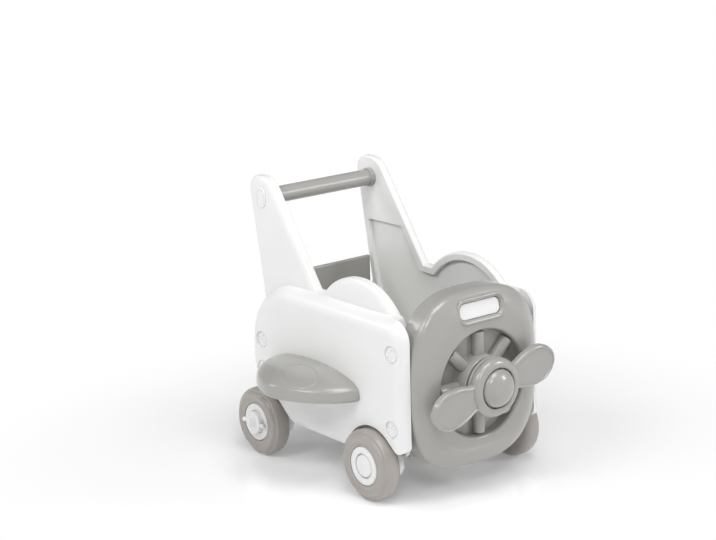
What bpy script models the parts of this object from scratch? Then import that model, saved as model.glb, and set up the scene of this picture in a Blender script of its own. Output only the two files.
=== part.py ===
"""Push walker shaped like a small propeller aeroplane.

Two hollow side panels carry a handle bar, a toy bin, a nose panel with a radial engine and a
propeller, two stub wings and four wheels on steel axles. Metres, +Z up, nose towards -Y,
wheels on Z = 0. Every Y below is counted from the front axle and every height from the axles.
"""

import math

import bmesh
import bpy
from mathutils import Matrix, Vector

# Fits
SEAT = 0.0003
RUNNING = 0.0006
SHELL_WALL = 0.0035
LINER_WALL = 0.0025
PANEL_WALL = 0.003

# Wheels and axles
WHEEL_RADIUS = 0.0625
WHEEL_WIDTH = 0.0375
WHEEL_MIDDLE_X = 0.1618
WHEELBASE = 0.3085
HUB_RADIUS = 0.0343
HUB_FACE = 0.0168
HUB_POCKET_RADIUS = 0.0212
HUB_POCKET_FLOOR = 0.004
HUB_BACK = 0.004
CAP_PROUD = 0.0008
AXLE_RADIUS = 0.005
NUT_RADIUS = 0.009
NUT_HEIGHT = 0.0045
WASHER_RADIUS = 0.011
TYRE_SIDES = 24
HUB_SIDES = 16

# Rear wheel adjusters
DRUM_TOP = 0.0262
ADJUSTER_PIN_RADIUS = 0.0028
ADJUSTER_BALL_RADIUS = 0.0044
ADJUSTER_BALL_REACH = 0.028
ADJUSTER_HEIGHT = 0.0224
DRUM_END_WALL = 0.003

# Where the side panels stand, counted outwards from the middle
LINER_X = 0.115
SPLIT_X = 0.126
FACE_X = 0.134
SWELL_X = 0.160

# Side outline: body
BODY_TOP = 0.261
BODY_REAR = 0.346
BODY_UNDER = 0.0135
TOE_HEIGHT = 0.0335
TOE_CORNER = 0.016
TOE_FLAT = 0.0006
NOSE_CORNER = 0.040
TAIL_CORNER = 0.114
TAIL_STRAIGHT = 0.048
BELLY_CORNER = 0.040
BELLY_DEPTH = 0.0035
SWELL_ROLL = 0.024
ARCH_GAP = 0.0048
FRONT_POST = 0.0157
BODY_FRONT = -(WHEEL_RADIUS + ARCH_GAP + FRONT_POST)
FRONT_ARCH_END = 35
REAR_ARCH = (130, 68)

# Side outline: tower and hump
VALLEY = 0.2645
HUMP_FOOT = BODY_TOP - 0.0006
HANDLE_Y = 0.3272
HANDLE_HEIGHT = 0.4058
TOWER_FRONT_REACH = 0.0475
TOWER_FRONT_FOOT = 0.1797
TOWER_REAR_REACH = 0.0374
TOWER_REAR_FOOT = 0.3394
TOWER_FRONT_LEAN = (HANDLE_Y - TOWER_FRONT_REACH - TOWER_FRONT_FOOT) / (HANDLE_HEIGHT - VALLEY)
TOWER_REAR_LEAN = (HANDLE_Y + TOWER_REAR_REACH - TOWER_REAR_FOOT) / (HANDLE_HEIGHT - VALLEY)
TOWER_RISE = 0.0385
TOWER_FRONT_ROUND = 0.046
TOWER_REAR_ROUND = 0.026
HUMP_Y = 0.064
HUMP_TOP = 0.3065
HUMP_RADIUS = 0.1245
FACE_ROLL = 0.014
FACE_ROLL_DEPTH = 0.0075
FACE_SUNK = 0.085
LINER_ROLL = 0.004
LINER_CORNER = 0.015

# Liner recess
FRAME_WIDTH = 0.015
RECESS_DEPTH = 0.0087
RECESS_TOP = 0.3245
LINER_FRONT = -0.0514
LINER_UNDER = 0.0145

# Nose panel
PANEL_HALF_WIDTH = 0.1395
PANEL_TOP = 0.2950
PANEL_BOTTOM = -0.0165
PANEL_SQUARENESS = 2.9
PANEL_BACK = -0.052
PANEL_ROLL_START = -0.080
PANEL_ROLL = 0.016
PANEL_CROWN = ((0.012, 0.0060), (0.012, 0.0050))
PANEL_SIDES = 36

# Engine in the nose panel
PROP_HEIGHT = 0.1325
DISH_RADIUS = 0.0935
DISH_DEPTH = 0.019
DISH_LIP = 0.004
DISH_DRAFT = 0.002
DISH_BACKING = 0.0055
CYLINDERS = 8
CYLINDER_RADIUS = 0.0110
CYLINDER_RISE = 0.0055
CYLINDER_REACH = 0.0895
BOSS_RADIUS = 0.0500
BOSS_FACE = -0.1215
PROP_SIDES = 26

# Propeller
PROP_HUB_RADIUS = 0.0515
PROP_HUB_LENGTH = 0.024
PROP_HUB_ROLL = 0.010
PROP_POCKET_FLOOR = 0.016
PROP_TIP = 0.139
PROP_BLADE_SHAPE = (
    (0.109, 0.0225), (0.089, 0.0240), (0.071, 0.0300), (0.049, 0.0340), (0.029, 0.0325),
    (0.013, 0.0243), (0.003, 0.0122),
)
PROP_BLADE_BACK = 0.004
PROP_BLADE_THICKNESS = 0.013
PROP_BLADE_ROLL = 0.004
PROP_ANGLE = math.radians(11.5)
PROP_AXLE_RADIUS = 0.004
PROP_AXLE_HEAD = 0.008
CAP_RADIUS = 0.0335
CAP_HEIGHT = 0.0400

# Window plate in the nose panel
WINDOW_HEIGHT = 0.263
WINDOW_WIDTH = 0.089
WINDOW_TALL = 0.0275
WINDOW_CORNER = 0.0105
WINDOW_LIP = 0.0075
WINDOW_LIP_FACE = -0.1045
WINDOW_LIP_DEPTH = 0.014
WINDOW_TILT = math.radians(11)
WINDOW_DEPTH = 0.0085
PLATE_THICKNESS = 0.0025

# Wings
WING_Y = 0.153
WING_HALF_CHORD = 0.125
WING_SPAN = 0.101
WING_BOTTOM = 0.1025
WING_RIM = 0.015
WING_ROLL = 0.006
WING_CROWN = 0.032
WING_POINT = 1.62
WING_RINGS = (0.966, 0.86, 0.70, 0.49, 0.24)
WING_PEG_RADIUS = 0.006
WING_PEG_SPREAD = 0.060
WING_PEG_HEIGHT = 0.1215

# Handle
BAR_RADIUS = 0.015
BAR_WALL = 0.002
BAR_INTO_TOWER = 0.008
COLLAR_WALL = 0.0016
COLLAR_LENGTH = 0.009
COVER_HALF_LENGTH = 0.013
COVER_HALF_HEIGHT = 0.019
COVER_THICKNESS = 0.002

# Screw covers on the sides
SCREW_COVER_RADIUS = 0.0142
SCREW_COVER_THICKNESS = 0.0014
SCREW_POCKET_DEPTH = 0.003
SCREW_PLACES = (
    ("front_upper", BODY_FRONT + 0.0275, 0.2045),
    ("front_lower", BODY_FRONT + 0.0295, 0.0735),
    ("rear_upper", BODY_REAR - 0.038, 0.1515),
    ("rear_lower", BODY_REAR - 0.038, 0.0975),
)

# Bin
FLOOR_HEIGHT = 0.0215
FLOOR_THICKNESS = 0.003
FLOOR_RIM = 0.009
FLOOR_RIBS = 4
BACK_THICKNESS = 0.003
BACK_TOP = 0.2545
BACK_Y = 0.333
BACK_SET = 0.016
BACK_BEND = 0.0875
BACK_LIP = 0.008
BULKHEAD_THICKNESS = 0.003

# Axle brackets
BRACKET_RADIUS = 0.045
BRACKET_BOTTOM = -0.0215
BRACKET_FOOT = 0.036
BRACKET_THICKNESS = 0.0125

WASHER_GAP = SEAT

# How far a cut runs past the faces that it opens
BEYOND = 0.05

SIDEWAYS = Matrix(((0, 0, 1), (1, 0, 0), (0, 1, 0))).to_4x4()
FORWARD = Matrix(((1, 0, 0), (0, 0, -1), (0, 1, 0))).to_4x4()
UPWARD = Matrix.Identity(4)

WHITE = ("white_plastic", (0.84, 0.84, 0.83), 0.38, 0.0)
GREY = ("grey_plastic", (0.40, 0.39, 0.37), 0.42, 0.0)
BAR_GREY = ("bar_plastic", (0.36, 0.37, 0.38), 0.36, 0.0)
TYRE_GREY = ("tyre_plastic", (0.34, 0.32, 0.30), 0.50, 0.0)
STEEL = ("steel", (0.56, 0.57, 0.58), 0.30, 1.0)


def clear_scene():
    for item in list(bpy.data.objects):
        bpy.data.objects.remove(item, do_unlink=True)


def collection(name, hidden=False):
    made = bpy.data.collections.new(name)
    made.hide_render = hidden
    bpy.context.scene.collection.children.link(made)
    return made


def material(recipe):
    name, colour, roughness, metallic = recipe
    found = bpy.data.materials.get(name)
    if found:
        return found
    made = bpy.data.materials.new(name)
    made.use_nodes = True
    shader = made.node_tree.nodes["Principled BSDF"]
    shader.inputs["Base Color"].default_value = (*colour, 1.0)
    shader.inputs["Roughness"].default_value = roughness
    shader.inputs["Metallic"].default_value = metallic
    made.diffuse_color = (*colour, 1.0)
    return made


def place(name, mesh, location=(0, 0, 0), rotation=(0, 0, 0)):
    """A helper object on the walker's frame, not yet one of its parts."""
    made = bpy.data.objects.new(name, mesh)
    made.location = location
    made.rotation_euler = rotation
    made.parent = frame
    made.hide_render = True
    made.display_type = "WIRE"
    cutters.objects.link(made)
    return made


def part(item, recipe, name=None):
    """Makes a helper object one of the walker's parts."""
    cutters.objects.unlink(item)
    walker.objects.link(item)
    item.hide_render = False
    item.display_type = "TEXTURED"
    item.name = name or item.name
    item.data.materials.clear()
    item.data.materials.append(material(recipe))
    item.data.shade_smooth()
    item.data.set_sharp_from_angle(angle=math.radians(35))
    return item


def boolean(item, other, operation="DIFFERENCE"):
    modifier = item.modifiers.new(operation.lower() + "_" + other.name, "BOOLEAN")
    modifier.object = other
    modifier.operation = operation
    modifier.solver = "EXACT"


def baked(item):
    """The item's shape with its modifiers applied, as a mesh of its own."""
    bpy.context.view_layer.update()
    graph = bpy.context.evaluated_depsgraph_get()
    return bpy.data.meshes.new_from_object(item.evaluated_get(graph), depsgraph=graph)


def mirrored(item, name, recipe):
    """The opposite-hand copy of a part that lies in the walker's frame."""
    mesh = baked(item)
    mesh.transform(Matrix.Scale(-1, 4, Vector((1, 0, 0))))
    mesh.flip_normals()
    return part(place(name, mesh), recipe)


def arc(centre_u, centre_v, radius, start, end, steps):
    """Points along an arc, in degrees, both ends included."""
    angles = [math.radians(start + (end - start) * k / steps) for k in range(steps + 1)]
    return [(centre_u + radius * math.cos(a), centre_v + radius * math.sin(a)) for a in angles]


def rounded(corners, step=18):
    """A closed outline from (u, v, radius) corners, each one filleted."""
    outline = []
    count = len(corners)
    for k, (u, v, radius) in enumerate(corners):
        here = Vector((u, v))
        if radius <= 0:
            outline.append((u, v))
            continue
        before = (Vector(corners[k - 1][:2]) - here).normalized()
        after = (Vector(corners[(k + 1) % count][:2]) - here).normalized()
        half = before.angle(after) / 2
        centre = here + (before + after).normalized() * (radius / math.sin(half))
        first = here + before * (radius / math.tan(half)) - centre
        last = here + after * (radius / math.tan(half)) - centre
        turn = first.angle_signed(last)
        steps = max(1, round(abs(math.degrees(turn)) / step))
        start = math.atan2(first.y, first.x)
        for j in range(steps + 1):
            angle = start - turn * j / steps
            outline.append((centre.x + radius * math.cos(angle), centre.y + radius * math.sin(angle)))
    return outline


def superellipse(half_u, half_v, power, sides, centre_u=0.0, centre_v=0.0):
    outline = []
    for k in range(sides):
        angle = 2 * math.pi * (k + 0.5) / sides
        c, s = math.cos(angle), math.sin(angle)
        outline.append((
            centre_u + half_u * math.copysign(abs(c) ** (2 / power), c),
            centre_v + half_v * math.copysign(abs(s) ** (2 / power), s),
        ))
    return outline


def roll(inward, depth, steps):
    """The inset and rise of each step of a rounded-over edge."""
    turns = [math.pi / 2 * k / steps for k in range(steps + 1)]
    return [
        (inward * (math.cos(a) - math.cos(b)), depth * (math.sin(b) - math.sin(a)))
        for a, b in zip(turns, turns[1:])
    ]


def outline_mesh(name, outline, thickness):
    """A flat outline drawn out by the thickness, each of its two faces one polygon."""
    curve = bpy.data.curves.new(name, "CURVE")
    curve.dimensions = "2D"
    curve.fill_mode = "BOTH"
    curve.extrude = thickness / 2
    spline = curve.splines.new("POLY")
    spline.points.add(len(outline) - 1)
    for point, (u, v) in zip(spline.points, outline):
        point.co = (u, v, 0, 1)
    spline.use_cyclic_u = True
    item = bpy.data.objects.new(name, curve)
    cutters.objects.link(item)
    mesh = baked(item)
    bpy.data.objects.remove(item, do_unlink=True)
    bpy.data.curves.remove(curve)
    shape = bmesh.new()
    shape.from_mesh(mesh)
    bmesh.ops.remove_doubles(shape, verts=shape.verts, dist=0.000001)
    for side in (-1, 1):
        cap = [face for face in shape.faces if side * face.normal.z > 0.5]
        bmesh.ops.dissolve_faces(shape, faces=cap)
    bmesh.ops.recalc_face_normals(shape, faces=shape.faces)
    shape.to_mesh(mesh)
    shape.free()
    return mesh


def slab_mesh(name, outline, low, high, axes, low_rim=(), high_rim=()):
    """An outline drawn out from low to high, its two rims stepped in as the rims say."""
    low_wall = low + sum(rise for _, rise in low_rim)
    high_wall = high - sum(rise for _, rise in high_rim)
    mesh = outline_mesh(name, outline, high_wall - low_wall)
    shape = bmesh.new()
    shape.from_mesh(mesh)
    for side, rim in ((1, high_rim), (-1, low_rim)):
        face = max(shape.faces, key=lambda each: side * each.calc_center_median().z)
        for inward, rise in rim:
            bmesh.ops.inset_region(
                shape, faces=[face], thickness=inward, depth=rise, use_even_offset=True
            )
    shape.to_mesh(mesh)
    shape.free()
    mesh.transform(axes @ Matrix.Translation((0, 0, (low_wall + high_wall) / 2)))
    return mesh


def slab(name, outline, low, high, axes=SIDEWAYS, low_rim=(), high_rim=()):
    return place(name, slab_mesh(name, outline, low, high, axes, low_rim, high_rim))


def drum(name, centre, radius, low, high, axes=SIDEWAYS, sides=24):
    """A round bar or hole whose axis is the axes' third direction."""
    shape = bmesh.new()
    bmesh.ops.create_cone(
        shape, cap_ends=True, segments=sides, radius1=radius, radius2=radius, depth=high - low
    )
    mesh = bpy.data.meshes.new(name)
    shape.to_mesh(mesh)
    shape.free()
    mesh.transform(axes @ Matrix.Translation((*centre, (low + high) / 2)))
    return place(name, mesh)


def block(name, low, high):
    """A box between two corners."""
    low, high = Vector(low), Vector(high)
    shape = bmesh.new()
    bmesh.ops.create_cube(shape, size=1, matrix=Matrix.Diagonal((*(high - low), 1)))
    mesh = bpy.data.meshes.new(name)
    shape.to_mesh(mesh)
    shape.free()
    mesh.transform(Matrix.Translation((low + high) / 2))
    return place(name, mesh)


def turned(name, profile, sides, location=(0, 0, 0), rotation=(0, 0, 0), ring=False, flats=False):
    """A profile of (radius, height) points, from its top down its outer side, turned about Z."""
    stretch = 1 / math.cos(math.pi / sides) if flats else 1
    points = [(radius * stretch, 0, height) for radius, height in profile]
    edges = [(k, k + 1) for k in range(len(points) - 1)]
    if ring:
        edges.append((len(points) - 1, 0))
    mesh = bpy.data.meshes.new(name)
    mesh.from_pydata(points, edges, [])
    if flats:
        mesh.transform(Matrix.Rotation(math.pi / sides, 4, "Z"))
    item = place(name, mesh, location, rotation)
    screw = item.modifiers.new("turn", "SCREW")
    screw.axis = "Z"
    screw.steps = sides
    screw.render_steps = sides
    screw.use_merge_vertices = True
    screw.merge_threshold = 0.00001
    screw.use_smooth_shade = True
    return item


def tower_front(height):
    return HANDLE_Y - TOWER_FRONT_REACH + TOWER_FRONT_LEAN * (height - HANDLE_HEIGHT)


def tower_rear(height):
    return HANDLE_Y + TOWER_REAR_REACH + TOWER_REAR_LEAN * (height - HANDLE_HEIGHT)


def hump_arc(radius, rear_level, front_level, steps):
    """The hump from its rear foot to its front foot."""
    centre = HUMP_TOP - HUMP_RADIUS
    start = math.degrees(math.asin((rear_level - centre) / radius))
    end = 180 - math.degrees(math.asin((front_level - centre) / radius))
    return arc(HUMP_Y, centre, radius, start, end, steps)


def tower_and_hump(level, inset, rear_foot):
    """The upper outline, from the tower's rear foot to the hump's front foot."""
    top = HANDLE_HEIGHT + TOWER_RISE - inset
    lean_front = inset * math.hypot(1, TOWER_FRONT_LEAN)
    lean_rear = inset * math.hypot(1, TOWER_REAR_LEAN)
    tower = rounded([
        (tower_front(level) + lean_front, level, 0),
        (tower_rear(rear_foot) - lean_rear, rear_foot, 0),
        (tower_rear(top) - lean_rear, top, TOWER_REAR_ROUND - inset),
        (tower_front(top) + lean_front, top, TOWER_FRONT_ROUND - inset),
    ])
    foot, climb = tower[0], tower[1:]
    return climb + [foot] + hump_arc(HUMP_RADIUS - inset, level, HUMP_FOOT - inset, 10)


def face_outline(inset):
    """The side's flat face: tower, hump, and the strip below them that the swell covers."""
    sunk = VALLEY - FACE_SUNK + inset
    front = LINER_FRONT + SEAT + inset
    corner = FACE_ROLL + SEAT - inset
    front_end = rounded([
        (HUMP_Y, HUMP_FOOT - inset, 0),
        (front, HUMP_FOOT - inset, corner),
        (front, sunk, 0),
    ])
    return tower_and_hump(VALLEY - inset, inset, sunk) + front_end[1:]


def body_outline(inset, front, step=18):
    """The body's rounded outline, with no wheel arches and no cut along its underside."""
    top = BODY_TOP - inset
    rear = BODY_REAR - inset
    belly = BELLY_DEPTH + inset
    return rounded([
        (front, top, NOSE_CORNER - inset),
        (rear, top, TAIL_CORNER - inset),
        (rear, BODY_TOP - TAIL_CORNER - TAIL_STRAIGHT, TAIL_CORNER / 2),
        (rear - BELLY_CORNER, belly, BELLY_CORNER),
        (front, belly, NOSE_CORNER - inset),
    ], step)


def flare(axle_y, radius, angle, level, back):
    """Where the arch's tangent at this angle comes down to the level."""
    turn = math.radians(angle)
    start = Vector((axle_y + radius * math.cos(turn), radius * math.sin(turn)))
    slope = Vector((math.sin(turn), -math.cos(turn))) * (1 if back else -1)
    return start.x + slope.x * (level - start.y) / slope.y, level


def under_outline(offset):
    """Everything below the body's lower edge and inside its wheel arches."""
    radius = WHEEL_RADIUS + ARCH_GAP + offset
    toe = Vector((BODY_FRONT + TOE_CORNER + TOE_FLAT, TOE_HEIGHT + offset))
    leg = math.degrees(math.atan2(toe.y, toe.x) - math.acos(radius / toe.length))
    under = BODY_UNDER + offset
    corner = TOE_CORNER - offset
    rear_arch = arc(WHEELBASE, 0, radius, *REAR_ARCH, 5)
    return [
        (BODY_FRONT - BEYOND, -BEYOND),
        (BODY_FRONT - BEYOND, toe.y + corner),
        *arc(BODY_FRONT + TOE_CORNER - SEAT, toe.y + corner, corner, 180, 270, 4),
        tuple(toe),
        *arc(0, 0, radius, leg, FRONT_ARCH_END, 7),
        flare(0, radius, FRONT_ARCH_END, under, True),
        flare(WHEELBASE, radius, REAR_ARCH[0], under, False),
        *rear_arch,
        (BODY_REAR + BEYOND, rear_arch[-1][1]),
        (BODY_REAR + BEYOND, -BEYOND),
    ]


def panel_outline(grow=0.0):
    middle = (PANEL_TOP + PANEL_BOTTOM) / 2
    half = (PANEL_TOP - PANEL_BOTTOM) / 2
    return superellipse(
        PANEL_HALF_WIDTH + grow, half + grow, PANEL_SQUARENESS, PANEL_SIDES, 0, middle
    )


def liner_outline(inset):
    """The liner: tower, hump and the whole bin side down to its underside."""
    level = VALLEY - inset
    low = LINER_UNDER + inset
    junction = VALLEY - TAIL_CORNER / 2
    rear = BODY_REAR - inset
    return tower_and_hump(level, inset, junction) + rounded([
        (LINER_FRONT + inset, HUMP_FOOT - inset, LINER_CORNER - inset),
        (LINER_FRONT + inset, low, 0.010),
        (rear - 0.024, low, 0.020),
        (rear, BODY_TOP - TAIL_CORNER - TAIL_STRAIGHT, 0.040),
        (rear, BODY_TOP - TAIL_CORNER + 0.020, 0.040),
        (tower_rear(junction) - inset + 0.002, junction - 0.003, 0),
    ])


def recess_outline(grow):
    """The liner's recess, a frame's width inside its edge, squared off across the tower."""
    edge = FRAME_WIDTH - grow
    lean_front = edge * math.hypot(1, TOWER_FRONT_LEAN)
    lean_rear = edge * math.hypot(1, TOWER_REAR_LEAN)
    top = RECESS_TOP + grow
    level = VALLEY - edge
    radius = HUMP_RADIUS - edge
    front = LINER_FRONT + edge
    centre = HUMP_TOP - HUMP_RADIUS
    start = math.degrees(math.asin((level - centre) / radius))
    end = math.degrees(math.acos((front - HUMP_Y) / radius))
    waist = VALLEY - TAIL_CORNER / 2
    corner = FRAME_WIDTH / 3 + grow
    upper = rounded([
        (tower_rear(waist) - lean_rear, waist, 0),
        (tower_rear(top) - lean_rear, top, corner),
        (tower_front(top) + lean_front, top, corner),
        (tower_front(level) + lean_front, level, corner),
        (HUMP_Y + radius * math.cos(math.radians(start)) + 0.004, level, 0),
    ])
    lower = rounded([
        (front, LINER_UNDER + edge + 0.005, corner * 2),
        (BODY_REAR - edge - 0.022, LINER_UNDER + edge + 0.005, corner * 2),
        (BODY_REAR - edge, BODY_TOP - TAIL_CORNER - TAIL_STRAIGHT, 0.030),
        (BODY_REAR - edge - 0.003, BODY_TOP - TAIL_CORNER + 0.012, 0.030),
    ])
    return upper + arc(HUMP_Y, centre, radius, start, end, 8) + lower


def side_shells():
    """Outer skins of the two side panels: face, swell, arches, pockets and handle spigot."""
    skin = SHELL_WALL
    base = SPLIT_X + SEAT
    behind = SPLIT_X - 0.002
    step = 0.0006
    swell = SWELL_X - FACE_X + step
    shell = slab(
        "side_shell_left", body_outline(0, BODY_FRONT), base + step, SWELL_X,
        high_rim=roll(SWELL_ROLL, swell, 3),
    )
    face = slab(
        "side_face", face_outline(0), base, FACE_X, high_rim=roll(FACE_ROLL, FACE_ROLL_DEPTH, 2)
    )
    hollow = slab(
        "body_hollow", body_outline(skin, LINER_FRONT + skin, 30), behind, SWELL_X - skin,
        high_rim=roll(SWELL_ROLL - skin, swell, 2),
    )
    upper_hollow = slab("face_hollow", face_outline(skin), behind - step, FACE_X - skin)
    boolean(hollow, upper_hollow, "UNION")
    boolean(hollow, slab("under_hollow", under_outline(skin), 0.10, 0.20))
    boolean(shell, face, "UNION")
    boolean(shell, hollow)
    boolean(shell, slab("under", under_outline(0), 0.09, 0.21))
    boolean(shell, block(
        "panel_room", (LINER_X, BODY_FRONT - BEYOND, -BEYOND),
        (PANEL_HALF_WIDTH + RUNNING, PANEL_BACK + RUNNING, VALLEY + BEYOND),
    ))
    for name, y, height in SCREW_PLACES:
        pocket = drum(
            "pocket_" + name, (y, height), SCREW_COVER_RADIUS + SEAT,
            SWELL_X - SCREW_POCKET_DEPTH, SWELL_X + 0.01, sides=16,
        )
        boolean(shell, pocket)
    for sign in (-1, 1):
        hole = drum(
            f"peg_hole_{sign}", (WING_Y + sign * WING_PEG_SPREAD, WING_PEG_HEIGHT),
            WING_PEG_RADIUS + SEAT, SWELL_X - 0.01, SWELL_X + 0.01, sides=16,
        )
        boolean(shell, hole)
    spigot = drum(
        "spigot", (HANDLE_Y, HANDLE_HEIGHT), BAR_RADIUS - BAR_WALL - SEAT,
        LINER_X + 0.001, FACE_X - skin / 2, sides=20,
    )
    boolean(shell, spigot, "UNION")
    part(shell, WHITE)
    mirrored(shell, "side_shell_right", WHITE)


def side_liners():
    """Inner skins of the side panels, trays whose recessed faces are the sides of the bin."""
    liner = slab(
        "side_liner_left", liner_outline(0), LINER_X, SPLIT_X, low_rim=roll(LINER_ROLL, LINER_ROLL, 1)
    )
    boolean(liner, slab("liner_hollow", liner_outline(LINER_WALL), LINER_X + LINER_WALL, 0.2))
    floor = LINER_X + RECESS_DEPTH
    boolean(
        liner,
        slab("recess_back", recess_outline(LINER_WALL), LINER_X + 0.001, floor + LINER_WALL),
        "UNION",
    )
    boolean(liner, slab("recess", recess_outline(0), 0.1, floor))
    boolean(
        liner, drum("bar_hole", (HANDLE_Y, HANDLE_HEIGHT), BAR_RADIUS + SEAT, 0.1, 0.2, sides=24)
    )
    part(liner, WHITE)
    mirrored(liner, "side_liner_right", WHITE)


def nose_panel():
    """Hollow nose panel with the engine dish, its cylinders, the boss and the window's lip."""
    crown = list(PANEL_CROWN)
    rolled = -PANEL_ROLL_START + PANEL_ROLL
    flat = rolled + sum(rise for _, rise in crown)
    panel = slab(
        "front_panel", panel_outline(), -PANEL_BACK, flat, FORWARD,
        high_rim=roll(PANEL_ROLL, PANEL_ROLL, 3) + crown,
    )
    hollow = slab(
        "panel_hollow", panel_outline(-PANEL_WALL), -PANEL_BACK - 0.002, rolled - PANEL_WALL,
        FORWARD, high_rim=roll(PANEL_ROLL - PANEL_WALL, PANEL_ROLL, 2),
    )
    dish_floor = flat - DISH_DEPTH
    cup = drum(
        "dish_back", (0, PROP_HEIGHT), DISH_RADIUS + PANEL_WALL, dish_floor - DISH_BACKING,
        rolled, FORWARD, PROP_SIDES,
    )
    centre = (0, 0, PROP_HEIGHT)
    facing = (math.pi / 2, 0, 0)
    lip = DISH_LIP
    dish = turned("dish", [
        (0, flat + 0.02),
        (DISH_RADIUS + lip, flat + 0.02),
        (DISH_RADIUS + lip, flat),
        (DISH_RADIUS + lip * 0.3, flat - lip * 0.3),
        (DISH_RADIUS, flat - lip),
        (DISH_RADIUS - DISH_DRAFT, dish_floor),
        (0, dish_floor),
    ], PROP_SIDES, centre, facing)
    boss = turned("boss", [
        (0, -BOSS_FACE),
        (BOSS_RADIUS - 0.003, -BOSS_FACE),
        (BOSS_RADIUS, -BOSS_FACE - 0.003),
        (BOSS_RADIUS, dish_floor - 0.001),
        (0, dish_floor - 0.001),
    ], 24, centre, facing, flats=True)
    boolean(panel, hollow)
    boolean(panel, cup, "UNION")
    boolean(panel, dish)
    boolean(panel, boss, "UNION")
    for k in range(CYLINDERS):
        start = BOSS_RADIUS - 0.004
        radius = CYLINDER_RADIUS
        depth = dish_floor + CYLINDER_RISE
        cylinder = turned(f"cylinder_{k}", [
            (0, CYLINDER_REACH),
            (radius - 0.003, CYLINDER_REACH),
            (radius, CYLINDER_REACH - 0.003),
            (radius, start),
            (0, start),
        ], 8, (0, -depth, PROP_HEIGHT), (0, 2 * math.pi * k / CYLINDERS, 0))
        boolean(panel, cylinder, "UNION")
    window = Matrix.Translation((0, WINDOW_LIP_FACE, WINDOW_HEIGHT))
    window = window @ Matrix.Rotation(-WINDOW_TILT, 4, "X") @ FORWARD
    frame_lip = slab(
        "window_lip", window_outline(WINDOW_LIP), -WINDOW_LIP_DEPTH, 0, window,
        high_rim=roll(0.003, 0.003, 2),
    )
    boolean(panel, frame_lip, "UNION")
    boolean(panel, slab("window_pocket", window_outline(SEAT), -WINDOW_DEPTH, 0.02, window))
    boolean(panel, drum(
        "axle_bore", (0, PROP_HEIGHT), PROP_AXLE_RADIUS + SEAT, 0.05, 0.14, FORWARD, 16
    ))
    part(panel, GREY)
    plate_low = -WINDOW_DEPTH + SEAT
    plate = slab(
        "window_plate", window_outline(0), plate_low, plate_low + PLATE_THICKNESS, window
    )
    part(plate, WHITE)
    inside = PANEL_WALL + RUNNING
    bulkhead = slab(
        "front_bulkhead", panel_outline(-inside), -PANEL_BACK + SEAT,
        -PANEL_BACK + SEAT + BULKHEAD_THICKNESS, FORWARD,
    )
    part(bulkhead, GREY)


def window_outline(grow):
    half_u = WINDOW_WIDTH / 2 - SEAT + grow
    half_v = WINDOW_TALL / 2 - SEAT + grow
    return rounded([
        (sx * half_u, sz * half_v, WINDOW_CORNER + grow)
        for sx, sz in ((-1, -1), (1, -1), (1, 1), (-1, 1))
    ], step=30)


def blade_half():
    """One long side of a blade, root to tip, as (reach, half width)."""
    return [(PROP_TIP - short, width) for short, width in PROP_BLADE_SHAPE]


def propeller():
    """Two paddle blades on a ringed hub, the nose cap and the shoulder screw they spin on."""
    back = -BOSS_FACE + RUNNING
    centre = (0, -back, PROP_HEIGHT)
    facing = (math.pi / 2, 0, 0)
    side = blade_half()
    one = side + [(PROP_TIP, 0)] + [(u, -v) for u, v in reversed(side)]
    blades = slab_mesh(
        "propeller", one + [(-u, -v) for u, v in one], PROP_BLADE_BACK,
        PROP_BLADE_BACK + PROP_BLADE_THICKNESS, FORWARD,
        roll(PROP_BLADE_ROLL, PROP_BLADE_ROLL, 1), roll(PROP_BLADE_ROLL, PROP_BLADE_ROLL, 2),
    )
    item = place("propeller", blades, centre, (0, -PROP_ANGLE, 0))
    length = PROP_HUB_LENGTH
    edge = PROP_HUB_RADIUS - PROP_HUB_ROLL
    shoulder = arc(edge, length - PROP_HUB_ROLL, PROP_HUB_ROLL, 90, 0, 3)
    hub = turned("prop_hub", [
        (0, length),
        *shoulder,
        (PROP_HUB_RADIUS, 0),
        (0, 0),
    ], PROP_SIDES, centre, facing)
    boolean(item, hub, "UNION")
    pocket = turned("prop_pocket", [
        (0, length + 0.01),
        (CAP_RADIUS + SEAT, length + 0.01),
        (CAP_RADIUS + SEAT, PROP_POCKET_FLOOR),
        (PROP_AXLE_RADIUS + SEAT, PROP_POCKET_FLOOR),
        (PROP_AXLE_RADIUS + SEAT, -0.01),
        (0, -0.01),
    ], 20, centre, facing)
    boolean(item, pocket)
    part(item, GREY)
    base = PROP_POCKET_FLOOR + SEAT
    rise = CAP_HEIGHT - PROP_HUB_LENGTH
    dome = [
        (CAP_RADIUS * math.sin(a), PROP_HUB_LENGTH + rise * math.cos(a))
        for a in [math.pi / 2 * k / 4 for k in range(5)]
    ]
    cap = turned("nose_cap", dome + [
        (CAP_RADIUS, base),
        (PROP_AXLE_HEAD + 0.002, base),
        (PROP_AXLE_HEAD + 0.002, PROP_HUB_LENGTH),
        (0, PROP_HUB_LENGTH),
    ], 20, centre, facing)
    part(cap, GREY)
    screw = turned("propeller_axle", [
        (0, base + 0.004),
        (PROP_AXLE_HEAD, base + 0.004),
        (PROP_AXLE_HEAD, base),
        (PROP_AXLE_RADIUS, base),
        (PROP_AXLE_RADIUS, -0.030),
        (0, -0.030),
    ], 10, centre, facing)
    part(screw, STEEL)


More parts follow.
